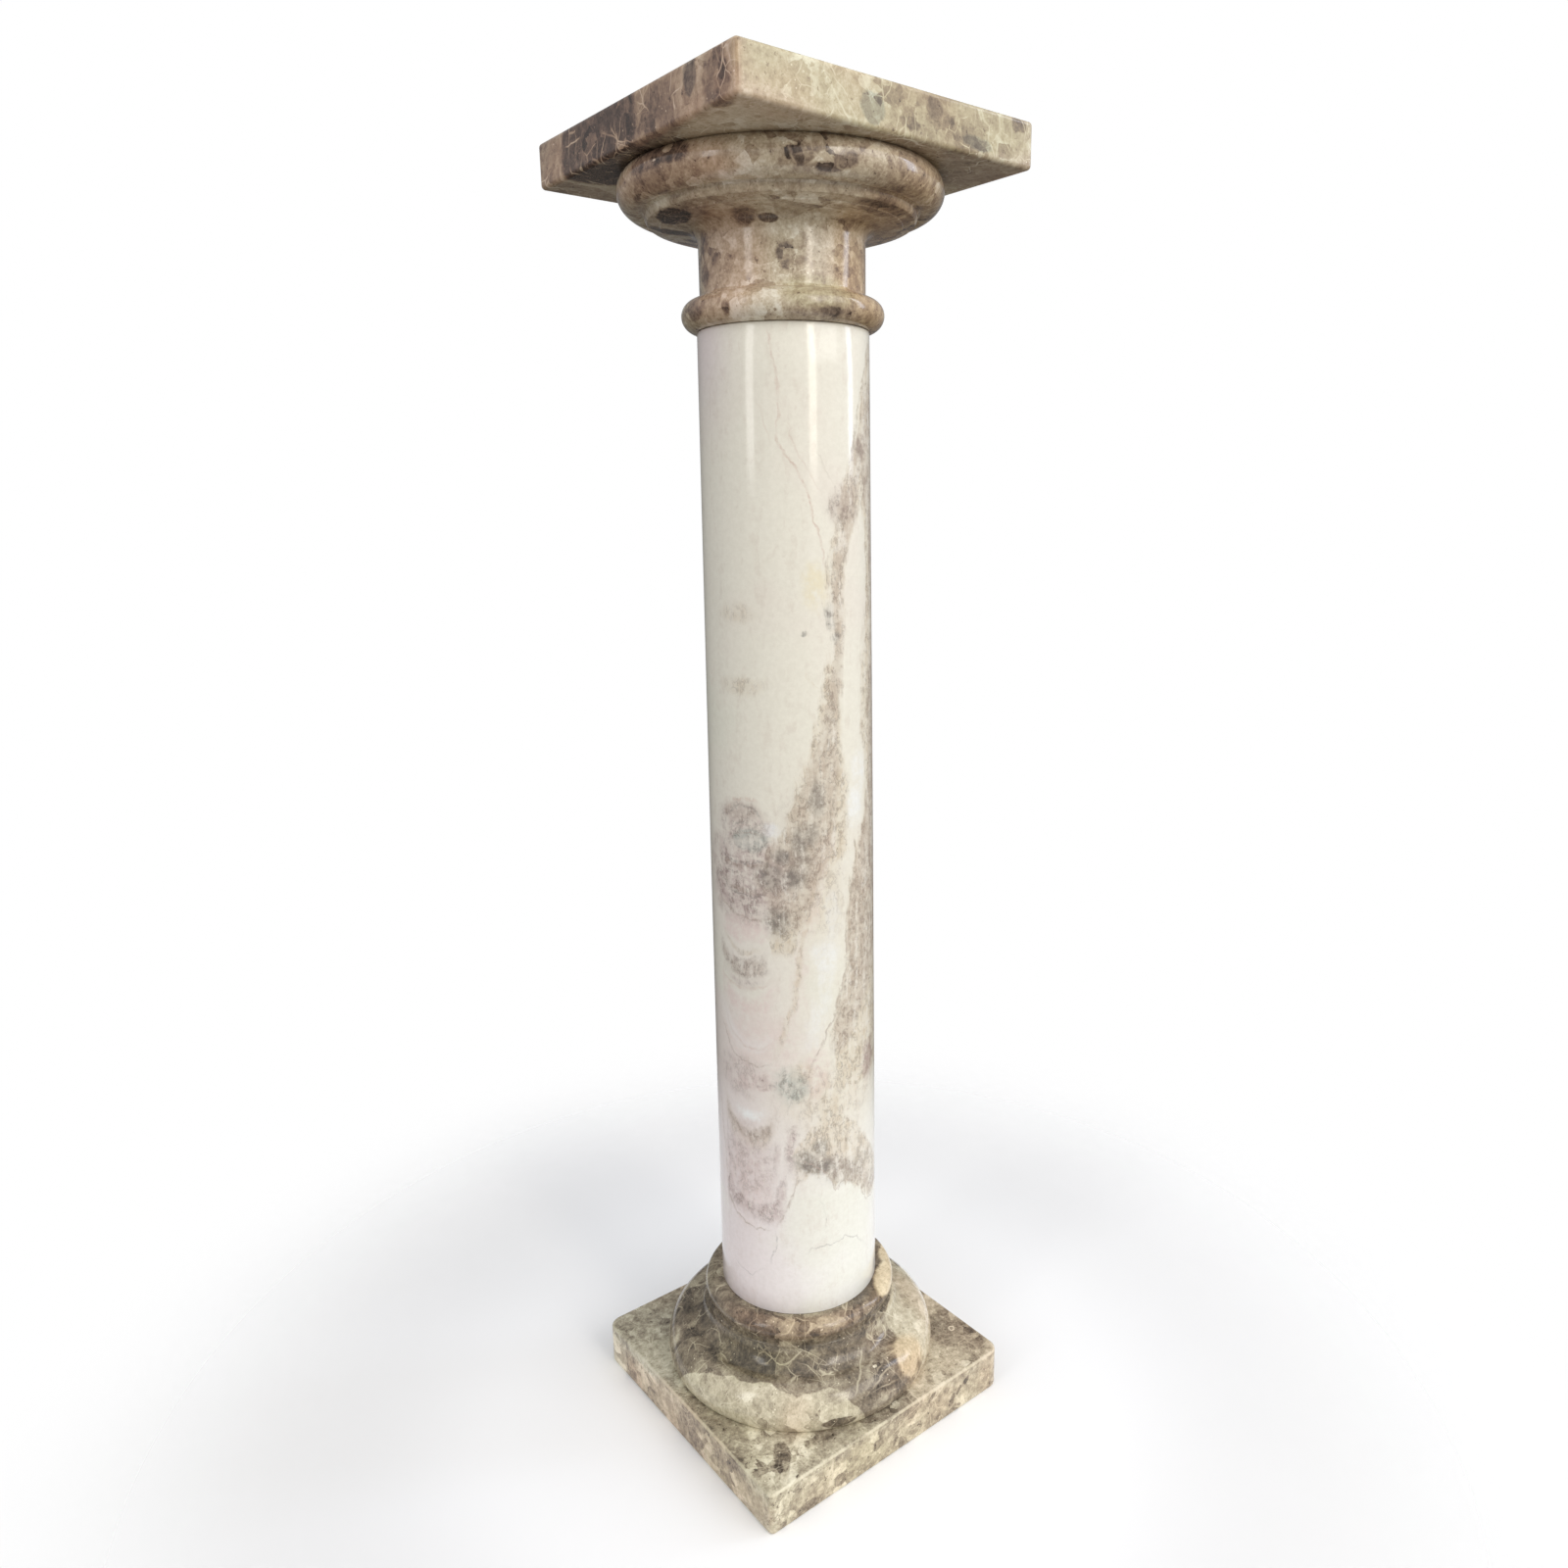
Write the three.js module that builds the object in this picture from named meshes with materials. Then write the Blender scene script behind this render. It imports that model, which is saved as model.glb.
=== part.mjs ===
// Marble column: a square plinth, a turned base, a tapering shaft, a turned capital and a square
// top slab, stacked and bedded on thin joints.
// Millimetres, +Z up. The origin is the centre of the plinth's underside; the sides of both slabs
// run along X and Y.
import * as THREE from "three";

// Both slabs
const SLAB_SIDE = 250;
const JOINT = 0.3;
const ARRIS_STEPS = 3;
const CORNER_STEPS = 5;

// Plinth
const PLINTH_HEIGHT = 36;
const PLINTH_CORNER_RADIUS = 7;
const PLINTH_ARRIS = 2.2;

// Base: a broad torus that flattens towards the plinth, a scotia, a narrow ridge and a collar
const BASE_HEIGHT = 71.4;
const BASE_FOOT_RADIUS = 113.2;
const BASE_TORUS_RADIUS = 116.2;
const BASE_TORUS_MID = 8.2;
const BASE_TORUS_DEPTH = 21.4;
const BASE_TORUS_RISE = 24.2;
const SCOTIA_THROAT_RADIUS = 80.4;
const SCOTIA_RISE = 18.6;
const RIDGE_RADIUS = 81.8;
const RIDGE_HEIGHT = 2.2;
const COLLAR_QUIRK_RADIUS = 80.2;
const COLLAR_RADIUS = 81.9;
const COLLAR_BEAD = 8.8;

// Shaft
const SHAFT_HEIGHT = 771.4;
const SHAFT_FOOT_RADIUS = 66.9;
const SHAFT_MIDDLE_RADIUS = 65.3;
const SHAFT_HEAD_RADIUS = 62.9;
const SHAFT_CHAMFER = 0.8;

// Capital: astragal, neck, coved soffit, fillet and torus
const CAPITAL_HEIGHT = 102.3;
const ASTRAGAL_RADIUS = 73.8;
const ASTRAGAL_DEPTH = 11.2;
const ASTRAGAL_HALF_HEIGHT = 10.7;
const NECK_RADIUS = 60.2;
const NECK_FOOT = 25;
const NECK_HEAD = 58.5;
const SOFFIT_COVE_RADIUS = 9.5;
const SOFFIT_STEP_RADIUS = 86.5;
const SOFFIT_STEP = 0.8;
const FILLET_LOWER_RADIUS = 95.4;
const FILLET_LOWER = 72.4;
const FILLET_UPPER_RADIUS = 99.3;
const FILLET_UPPER = 78.4;
const CAPITAL_TORUS_RADIUS = 116.3;
const CAPITAL_TORUS_SECTION = 13.6;
const CAPITAL_TORUS_MID = 91.4;
const CAPITAL_SEAT_RADIUS = 110.9;

// Top slab
const TOP_SLAB_HEIGHT = 30.8;
const TOP_SLAB_CORNER_RADIUS = 3.5;
const TOP_SLAB_ARRIS = 3;

// Facets of the turned pieces, a multiple of four so that the widest points fall on X and Y
const TURNED_SEGMENTS = 64;

// Bed heights
const BASE_BED = PLINTH_HEIGHT + JOINT;
const SHAFT_BED = BASE_BED + BASE_HEIGHT + JOINT;
const CAPITAL_BED = SHAFT_BED + SHAFT_HEIGHT + JOINT;
const TOP_SLAB_BED = CAPITAL_BED + CAPITAL_HEIGHT + JOINT;

// Points along an arc of an ellipse in the profile plane, from one angle to another in degrees.
function arc(centreRadius, centreHeight, across, up, fromDegrees, toDegrees, steps) {
  const points = [];
  for (let i = 0; i <= steps; i += 1) {
    const degrees = fromDegrees + ((toDegrees - fromDegrees) * i) / steps;
    const angle = THREE.MathUtils.degToRad(degrees);
    points.push(
      new THREE.Vector2(
        centreRadius + across * Math.cos(angle),
        centreHeight + up * Math.sin(angle),
      ),
    );
  }
  return points;
}

function at(radius, height) {
  return new THREE.Vector2(radius, height);
}

// A solid of revolution about Z from a profile that runs from the foot to the head.
function turned(profile) {
  const head = profile[profile.length - 1];
  const closed = [at(0, profile[0].y), ...profile, at(0, head.y)];
  const geometry = new THREE.LatheGeometry(closed, TURNED_SEGMENTS);
  geometry.rotateX(Math.PI / 2);
  return geometry;
}

// A square slab with rounded corners and eased arrises, standing on z = 0.
function slab(height, cornerRadius, arris) {
  const half = SLAB_SIDE / 2;
  const inner = half - cornerRadius;
  const outline = new THREE.Shape();
  outline.moveTo(inner, -half);
  outline.absarc(inner, -inner, cornerRadius, -Math.PI / 2, 0, false);
  outline.absarc(inner, inner, cornerRadius, 0, Math.PI / 2, false);
  outline.absarc(-inner, inner, cornerRadius, Math.PI / 2, Math.PI, false);
  outline.absarc(-inner, -inner, cornerRadius, Math.PI, 1.5 * Math.PI, false);
  const geometry = new THREE.ExtrudeGeometry(outline, {
    depth: height - 2 * arris,
    curveSegments: CORNER_STEPS,
    bevelEnabled: true,
    bevelThickness: arris,
    bevelSize: arris,
    bevelOffset: -arris,
    bevelSegments: ARRIS_STEPS,
  });
  geometry.translate(0, 0, arris);
  return geometry;
}

function baseProfile() {
  const torusCentre = BASE_TORUS_RADIUS - BASE_TORUS_DEPTH;
  const torusTop = BASE_TORUS_MID + BASE_TORUS_RISE;
  const footDepth = BASE_TORUS_RADIUS - BASE_FOOT_RADIUS;
  const scotiaTop = torusTop + SCOTIA_RISE;
  const ridgeTop = scotiaTop + RIDGE_HEIGHT;
  const collarMid = BASE_HEIGHT - COLLAR_BEAD;
  return [
    ...arc(BASE_FOOT_RADIUS, BASE_TORUS_MID, footDepth, BASE_TORUS_MID, -90, 0, 3),
    ...arc(torusCentre, BASE_TORUS_MID, BASE_TORUS_DEPTH, BASE_TORUS_RISE, 13, 90, 6),
    ...arc(
      torusCentre,
      scotiaTop,
      torusCentre - SCOTIA_THROAT_RADIUS,
      SCOTIA_RISE,
      258,
      180,
      5,
    ),
    at(RIDGE_RADIUS, scotiaTop + 0.4),
    at(RIDGE_RADIUS, ridgeTop),
    at(COLLAR_QUIRK_RADIUS, ridgeTop + 0.6),
    ...arc(COLLAR_RADIUS - COLLAR_BEAD, collarMid, COLLAR_BEAD, COLLAR_BEAD, -32, 90, 7),
  ];
}

function shaftProfile() {
  return [
    at(SHAFT_FOOT_RADIUS - SHAFT_CHAMFER, 0),
    at(SHAFT_FOOT_RADIUS, SHAFT_CHAMFER),
    at(SHAFT_MIDDLE_RADIUS, SHAFT_HEIGHT / 2),
    at(SHAFT_HEAD_RADIUS, SHAFT_HEIGHT - SHAFT_CHAMFER),
    at(SHAFT_HEAD_RADIUS - SHAFT_CHAMFER, SHAFT_HEIGHT),
  ];
}

function capitalProfile() {
  const astragalCentre = ASTRAGAL_RADIUS - ASTRAGAL_DEPTH;
  const coveCentre = NECK_RADIUS + SOFFIT_COVE_RADIUS;
  const torusCentre = CAPITAL_TORUS_RADIUS - CAPITAL_TORUS_SECTION;
  return [
    ...arc(
      astragalCentre,
      ASTRAGAL_HALF_HEIGHT,
      ASTRAGAL_DEPTH,
      ASTRAGAL_HALF_HEIGHT,
      -90,
      76,
      8,
    ),
    at(61.4, 22.4),
    at(NECK_RADIUS, NECK_FOOT),
    ...arc(coveCentre, NECK_HEAD, SOFFIT_COVE_RADIUS, SOFFIT_COVE_RADIUS, 180, 98, 4),
    at(SOFFIT_STEP_RADIUS, FILLET_LOWER - 2.6),
    at(SOFFIT_STEP_RADIUS + 0.6, FILLET_LOWER - 2.6 + SOFFIT_STEP),
    at(FILLET_LOWER_RADIUS, FILLET_LOWER),
    at(FILLET_LOWER_RADIUS + 2.2, FILLET_UPPER - 1.4),
    at(FILLET_UPPER_RADIUS, FILLET_UPPER),
    ...arc(
      torusCentre,
      CAPITAL_TORUS_MID,
      CAPITAL_TORUS_SECTION,
      CAPITAL_TORUS_SECTION,
      -98,
      48,
      10,
    ),
    at(CAPITAL_SEAT_RADIUS, CAPITAL_HEIGHT),
  ];
}

// Mean colours of the stones
const TOP_SLAB_COLOUR = 0xa59a83;
const CAPITAL_COLOUR = 0x8f8069;
const SHAFT_COLOUR = 0xdcd5cc;
const BASE_COLOUR = 0x7f7561;
const PLINTH_COLOUR = 0xa39c84;

function piece(name, geometry, bed, colour) {
  const material = new THREE.MeshStandardMaterial({ color: colour, roughness: 0.18 });
  material.name = name + "_marble";
  const mesh = new THREE.Mesh(geometry, material);
  mesh.name = name;
  mesh.position.z = bed;
  return mesh;
}

const column = new THREE.Group();
column.name = "marble_column";

const plinthShape = slab(PLINTH_HEIGHT, PLINTH_CORNER_RADIUS, PLINTH_ARRIS);
column.add(piece("plinth", plinthShape, 0, PLINTH_COLOUR));
column.add(piece("base", turned(baseProfile()), BASE_BED, BASE_COLOUR));
column.add(piece("shaft", turned(shaftProfile()), SHAFT_BED, SHAFT_COLOUR));
column.add(piece("capital", turned(capitalProfile()), CAPITAL_BED, CAPITAL_COLOUR));
const topSlabShape = slab(TOP_SLAB_HEIGHT, TOP_SLAB_CORNER_RADIUS, TOP_SLAB_ARRIS);
column.add(piece("top_slab", topSlabShape, TOP_SLAB_BED, TOP_SLAB_COLOUR));

export default column;
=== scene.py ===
"""Marble column: a square plinth, a turned base, a plain shaft, a turned capital and a top slab.

Metres, +Z up. Sizes in the dataclasses are millimetres, as on a workshop drawing. Places on the
turned stones are given as (degrees round from the side that faces the camera, millimetres up).
"""

import logging
import math
from collections.abc import Iterable, Mapping, Sequence
from dataclasses import dataclass
from enum import Enum
from typing import Any

import bmesh
import bpy
from mathutils import Matrix, Vector


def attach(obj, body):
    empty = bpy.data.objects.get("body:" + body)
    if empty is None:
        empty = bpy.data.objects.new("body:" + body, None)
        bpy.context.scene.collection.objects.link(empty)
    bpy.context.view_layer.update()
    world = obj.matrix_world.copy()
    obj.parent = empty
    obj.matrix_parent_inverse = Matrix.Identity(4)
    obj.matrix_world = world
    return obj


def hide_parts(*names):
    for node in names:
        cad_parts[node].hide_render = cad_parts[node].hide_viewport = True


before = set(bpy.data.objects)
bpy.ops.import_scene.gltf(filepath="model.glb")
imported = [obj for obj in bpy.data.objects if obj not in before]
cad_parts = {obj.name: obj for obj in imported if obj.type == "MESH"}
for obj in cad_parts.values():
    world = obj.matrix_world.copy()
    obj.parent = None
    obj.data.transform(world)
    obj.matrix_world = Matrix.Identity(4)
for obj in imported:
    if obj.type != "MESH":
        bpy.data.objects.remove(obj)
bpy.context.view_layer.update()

MM = 0.001
AROUND = 192  # sides of a turned piece
CORNER_STEPS = 8  # facets of a plan corner
ARRIS_STEPS = 5  # facets of an arris
LEVEL = 1e-6  # m, the most that a level edge may climb
BROAD_FACE = 1e-3  # m2, less than any flat face of a slab, more than any facet
WIDEST_INSET = 1.5  # mm
SMOOTH_BELOW = 32.0  # degrees
log = logging.getLogger("marble_column")

Point = tuple[float, float]
Place = tuple[float, float, float]
Stop = tuple[float, Sequence[float]]
Corners = Mapping[tuple[int, int], float]


# ---------------------------------------------------------------- geometry


def arc(
    centre: Point, across: float, up: float, start: float, end: float, steps: int
) -> list[Point]:
    """Points along an arc of an ellipse in the profile plane.

    Args:
        centre: radius and height of the centre, in mm.
        across: half size along the radius.
        up: half size along the height.
        start: first angle, in degrees.
        end: last angle, in degrees.
        steps: number of spaces between points.

    Returns:
        The points from start to end, as (radius, height).
    """
    points = []
    for step in range(steps + 1):
        angle = math.radians(start + (end - start) * step / steps)
        points.append((centre[0] + across * math.cos(angle), centre[1] + up * math.sin(angle)))
    return points


def enter_edit(piece: bpy.types.Object) -> bmesh.types.BMesh:
    """Opens one piece in edit mode with nothing selected.

    Args:
        piece: the mesh object to edit.

    Returns:
        Its edit mesh.
    """
    bpy.ops.object.select_all(action="DESELECT")
    piece.select_set(True)
    bpy.context.view_layer.objects.active = piece
    bpy.ops.object.mode_set(mode="EDIT")
    bpy.ops.mesh.select_mode(type="EDGE")
    bpy.ops.mesh.select_all(action="DESELECT")
    return bmesh.from_edit_mesh(piece.data)


def select_edges(piece: bpy.types.Object, edges: Iterable[bmesh.types.BMEdge]) -> None:
    """Selects edges of the piece's edit mesh.

    Args:
        piece: the mesh object in edit mode.
        edges: the edges to select.
    """
    for edge in edges:
        edge.select_set(True)
    bmesh.update_edit_mesh(piece.data)


def finish_mesh(piece: bpy.types.Object, degrees: float = SMOOTH_BELOW) -> bpy.types.Object:
    """Turns the faces outwards, leaves edit mode and smooths what isn't an arris.

    Args:
        piece: the mesh object in edit mode.
        degrees: faces that meet at less than this are shaded as one surface.

    Returns:
        The same object.
    """
    bpy.ops.mesh.select_all(action="SELECT")
    bpy.ops.mesh.normals_make_consistent(inside=False)
    bpy.ops.object.mode_set(mode="OBJECT")
    bpy.ops.object.shade_smooth_by_angle(angle=math.radians(degrees))
    return piece


def turn(name: str, profile: Sequence[Point], around: int = AROUND) -> bpy.types.Object:
    """Turns a closed solid about Z, as on a lathe.

    Args:
        name: the piece's name.
        profile: (radius, height) from the foot to the head, in mm.
        around: number of sides of the circle.

    Returns:
        The piece, with its place in its mesh.
    """
    bpy.ops.object.select_all(action="DESELECT")
    radius, height = profile[0]
    bpy.ops.mesh.primitive_circle_add(
        vertices=around, radius=radius * MM, fill_type="NGON", location=(0, 0, height * MM)
    )
    piece = bpy.context.object
    piece.name = piece.data.name = name
    bpy.ops.object.transform_apply(location=True, rotation=True, scale=True)
    bpy.ops.object.mode_set(mode="EDIT")
    bpy.ops.mesh.select_mode(type="FACE")
    bpy.ops.mesh.select_all(action="SELECT")
    for (inner, low), (outer, high) in zip(profile, profile[1:]):
        bpy.ops.mesh.extrude_region_move(
            TRANSFORM_OT_translate={"value": (0, 0, (high - low) * MM)}
        )
        grow = outer / inner
        bpy.ops.transform.resize(value=(grow, grow, 1), center_override=(0, 0, high * MM))
    return finish_mesh(piece)


def cut_slab(
    name: str, side: float, foot: float, height: float, corners: Corners, arris: float
) -> bpy.types.Object:
    """Cuts a square slab with rounded plan corners and eased edges.

    Args:
        name: the piece's name.
        side: length of a side, in mm.
        foot: height of the underside above the floor.
        height: thickness of the slab.
        corners: radius of each corner in plan, by the signs of its X and Y.
        arris: radius of the edges above and below.

    Returns:
        The piece, with its place in its mesh.
    """
    bpy.ops.object.select_all(action="DESELECT")
    bpy.ops.mesh.primitive_cube_add(
        size=1,
        location=(0, 0, (foot + height / 2) * MM),
        scale=(side * MM, side * MM, height * MM),
    )
    piece = bpy.context.object
    piece.name = piece.data.name = name
    bpy.ops.object.transform_apply(location=True, rotation=True, scale=True)
    mesh = enter_edit(piece)
    for (across, back), radius in corners.items():
        upright = [
            e
            for e in mesh.edges
            if abs(e.verts[0].co.z - e.verts[1].co.z) > LEVEL
            and all(v.co.x * across > 0 and v.co.y * back > 0 for v in e.verts)
        ]
        select_edges(piece, upright)
        bpy.ops.mesh.bevel(
            offset=radius * MM, offset_type="OFFSET", segments=CORNER_STEPS, affect="EDGES"
        )
        bpy.ops.mesh.select_all(action="DESELECT")
        mesh = bmesh.from_edit_mesh(piece.data)
    level = [e for e in mesh.edges if abs(e.verts[0].co.z - e.verts[1].co.z) < LEVEL]
    select_edges(piece, level)
    bpy.ops.mesh.bevel(
        offset=arris * MM, offset_type="OFFSET", segments=ARRIS_STEPS, affect="EDGES"
    )
    bpy.ops.mesh.select_all(action="DESELECT")
    bpy.ops.mesh.select_mode(type="FACE")
    mesh = bmesh.from_edit_mesh(piece.data)
    for face in mesh.faces:
        face.select_set(face.calc_area() > BROAD_FACE)
    bmesh.update_edit_mesh(piece.data)
    room = (min(corners.values()) - arris) * 0.6
    bpy.ops.mesh.inset(thickness=min(WIDEST_INSET, room) * MM, use_individual=True)
    return finish_mesh(piece)


# ---------------------------------------------------------------- shader maths


@dataclass(frozen=True)
class Wire:
    """A number that runs over a surface, as a socket that takes part in Python expressions."""

    bench: "Bench"
    socket: bpy.types.NodeSocket

    def _math(self, operation: str, *values: "Wire | float", clamp: bool = False) -> "Wire":
        """The outcome of one Math node."""
        return self.bench.wire(
            "ShaderNodeMath",
            {"operation": operation, "use_clamp": clamp},
            dict(enumerate(values)),
        )

    def __add__(self, other: "Wire | float") -> "Wire":
        """self + other."""
        return self._math("ADD", self, other)

    __radd__ = __add__

    def __sub__(self, other: "Wire | float") -> "Wire":
        """self - other."""
        return self._math("SUBTRACT", self, other)

    def __rsub__(self, other: "Wire | float") -> "Wire":
        """other - self."""
        return self._math("SUBTRACT", other, self)

    def __mul__(self, other: "Wire | float") -> "Wire":
        """self * other."""
        return self._math("MULTIPLY", self, other)

    __rmul__ = __mul__

    def __truediv__(self, other: "Wire | float") -> "Wire":
        """self / other."""
        return self._math("DIVIDE", self, other)

    def __abs__(self) -> "Wire":
        """The distance from zero."""
        return self._math("ABSOLUTE", self)

    def larger(self, other: "Wire | float") -> "Wire":
        """The larger of the two."""
        return self._math("MAXIMUM", self, other)

    def arcsine(self) -> "Wire":
        """The angle with this sine, in radians."""
        return self._math("ARCSINE", self)

    def clamped(self) -> "Wire":
        """Held between 0 and 1."""
        return self._math("MULTIPLY", self, 1.0, clamp=True)

    def rise(self, low: float, high: float, top: float = 1.0) -> "Wire":
        """A soft step from 0 at low to top at high; low may be the larger."""
        return self.bench.wire(
            "ShaderNodeMapRange",
            {"interpolation_type": "SMOOTHSTEP"},
            {0: self, 1: low, 2: high, 3: 0.0, 4: top},
        )

    def spread(self, low: float, high: float) -> "Wire":
        """0 at low and 1 at high, in a straight line and not held at the ends."""
        return self.bench.wire(
            "ShaderNodeMapRange", {"clamp": False}, {0: self, 1: low, 2: high, 3: 0.0, 4: 1.0}
        )


class Bench:
    """Adds nodes to one material or to the room."""

    def __init__(self, owner: bpy.types.Material | bpy.types.World, place: str = "Object") -> None:
        """Clears the owner's nodes.

        Args:
            owner: the material or the world to fill.
            place: which coordinates its patterns follow.
        """
        owner.use_nodes = True
        self.tree = owner.node_tree
        self.tree.nodes.clear()
        self.place = self.node("ShaderNodeTexCoord").outputs[place]

    def node(
        self,
        kind: str,
        settings: Mapping[str, Any] | None = None,
        inputs: Mapping[str | int, Any] | None = None,
    ) -> bpy.types.Node:
        """Adds one node.

        Args:
            kind: the node's type.
            settings: its properties, which are set first; "stops" fills a colour ramp.
            inputs: a value, a socket or a wire for each input, by name or number.

        Returns:
            The new node.
        """
        made = self.tree.nodes.new(kind)
        for name, value in (settings or {}).items():
            if name == "stops":
                self._fill_ramp(made.color_ramp, value)
            else:
                setattr(made, name, value)
        for name, value in (inputs or {}).items():
            if isinstance(value, Wire):
                value = value.socket
            if isinstance(value, bpy.types.NodeSocket):
                self.tree.links.new(value, made.inputs[name])
            else:
                made.inputs[name].default_value = value
        return made

    @staticmethod
    def _fill_ramp(ramp: bpy.types.ColorRamp, stops: Sequence[Stop]) -> None:
        """Fills a colour ramp.

        Args:
            ramp: the new node's ramp, with its first two stops.
            stops: (position, three numbers), from 0 to 1.
        """
        while len(ramp.elements) < len(stops):
            ramp.elements.new(1.0)
        for element, (position, colour) in zip(ramp.elements, stops):
            element.position = position
            element.color = (*colour, 1.0)

    def wire(
        self,
        kind: str,
        settings: Mapping[str, Any] | None = None,
        inputs: Mapping[str | int, Any] | None = None,
        output: str | int = 0,
    ) -> Wire:
        """Adds one node, as node does, and gives one of its outputs as a wire."""
        return Wire(self, self.node(kind, settings, inputs).outputs[output])

    def vector(self, operation: str, *values: Any, output: str = "Vector", **named: Any) -> Wire:
        """The outcome of one Vector Math node.

        Args:
            operation: what it does.
            values: its inputs in order.
            output: which output is wanted.
            named: inputs by name, such as Scale.

        Returns:
            The output.
        """
        inputs: dict[str | int, Any] = dict(enumerate(values))
        inputs.update(named)
        return self.wire("ShaderNodeVectorMath", {"operation": operation}, inputs, output)

    def join(self, x: Any, y: Any, z: Any = 0.0) -> Wire:
        """A vector from three numbers."""
        return self.wire("ShaderNodeCombineXYZ", None, {0: x, 1: y, 2: z})

    def noise(
        self,
        vector: Wire,
        scale: float,
        detail: float = 2.0,
        roughness: float = 0.5,
        output: int = 0,
    ) -> Wire:
        """Cloudy noise about 0.5."""
        return self.wire(
            "ShaderNodeTexNoise",
            None,
            {"Vector": vector, "Scale": scale, "Detail": detail, "Roughness": roughness},
            output,
        )

    def cells(
        self, vector: Wire, scale: float, feature: str = "F1", output: str = "Distance"
    ) -> Wire:
        """One output of a Voronoi texture."""
        return self.wire(
            "ShaderNodeTexVoronoi", {"feature": feature}, {"Vector": vector, "Scale": scale}, output
        )

    def channels(self, colour: Wire) -> tuple[Wire, Wire, Wire]:
        """The three numbers of a colour."""
        parts = self.node("ShaderNodeSeparateColor", None, {0: colour})
        return tuple(Wire(self, output) for output in parts.outputs)

    def blend(self, share: Wire | float, first: Any, second: Any) -> Wire:
        """A number between two, by share."""
        return self.wire("ShaderNodeMix", {"data_type": "FLOAT"}, {0: share, 2: first, 3: second})

    def tint(self, share: Wire | float, first: Any, second: Any, how: str = "MIX") -> Wire:
        """A colour between two, by share."""
        settings = {"data_type": "RGBA", "blend_type": how}
        return self.wire("ShaderNodeMix", settings, {0: share, 6: first, 7: second}, 2)


def linear(colour: int) -> tuple[float, float, float, float]:
    """A colour as a shader reads it.

    Args:
        colour: the colour as 0xRRGGBB.

    Returns:
        Its linear red, green, blue and 1.
    """
    parts = [((colour >> shift) & 255) / 255 for shift in (16, 8, 0)]
    return (
        *(c / 12.92 if c <= 0.04045 else ((c + 0.055) / 1.055) ** 2.4 for c in parts),
        1.0,
    )


# ---------------------------------------------------------------- patterns in the stone


class Round(Enum):
    """Directions seen from above, in the shared frame."""

    TO_CAMERA = (-0.6038, -0.7971, 0.0)
    TO_RIGHT = (0.7971, -0.6038, 0.0)


@dataclass(frozen=True)
class Unrolled:
    """A turned stone's surface laid out flat: millimetres round and millimetres up.

    The side away from the camera repeats the near side, shifted along the height, so the pattern
    has no seam. Where the profile runs in and out, lean times the radius is added to the height,
    so that a ledge isn't squeezed to nothing.
    """

    bench: Bench
    radius: float
    back_shift: float
    wander: Sequence[tuple[float, float]]
    lean: float = 0.0

    def lay(self, grain: Wire | None = None, reach_across: float = 0.0) -> tuple[Wire, Wire, Wire]:
        """Lays the surface out.

        Args:
            grain: cloudy noise about 0.5 that frays what is drawn on the surface.
            reach_across: how far it frays it, in mm.

        Returns:
            Millimetres round from the camera side, millimetres up, and both as a vector.
        """
        bench = self.bench
        place = Wire(bench, bench.place)
        side = bench.vector("DOT_PRODUCT", place, Round.TO_RIGHT.value, output="Value")
        front = bench.vector("DOT_PRODUCT", place, Round.TO_CAMERA.value, output="Value")
        flat = bench.vector("MULTIPLY", place, (1.0, 1.0, 0.0))
        reach = bench.vector("LENGTH", flat, output="Value").larger(1e-4)
        round_ = (side / reach).arcsine() * self.radius
        up = bench.vector("DOT_PRODUCT", place, (0.0, 0.0, 1000.0), output="Value")
        if self.lean:
            up = up + reach * (1000.0 * self.lean)
        back = (front / reach).rise(0.0, -0.9)
        up = up + back * self.back_shift
        for scale, reach_mm in self.wander:
            drift = bench.wire(
                "ShaderNodeTexNoise",
                None,
                {"Vector": place, "Scale": scale, "Detail": 2.0, "Roughness": 0.6},
                1,
            )
            aside, aloft, _ = bench.channels(drift)
            round_ = round_ + (aside - 0.5) * (2 * reach_mm)
            up = up + (aloft - 0.5) * (2 * reach_mm)
        if grain is not None:
            fray = (grain - 0.5) * (2 * reach_across)
            round_ = round_ + fray
            up = up - fray
        return round_, up, bench.join(round_, up, 0.0)


class Tone(Enum):
    """Stains of the shaft, from the first laid to the last, as 0xRRGGBB."""

    YELLOW = 0xE9DFC2
    WHITE = 0xF2F3F0
    BLUSH = 0xE4D3CC
    TAN = 0xD0C0A6
    MAUVE = 0xBFABA6
    GREEN = 0xB4BAB2
    ROSE = 0xC9AE9E
    OLIVE = 0xA0927C
    UMBER = 0xB3A397
    GREY = 0x86827C


class Thread(Enum):
    """Threads drawn through the brown marbles."""

    PALE = 1
    DARK = 0


class Way(Enum):
    """Which way a band runs."""

    UP = 1
    ROUND = 0


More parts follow.
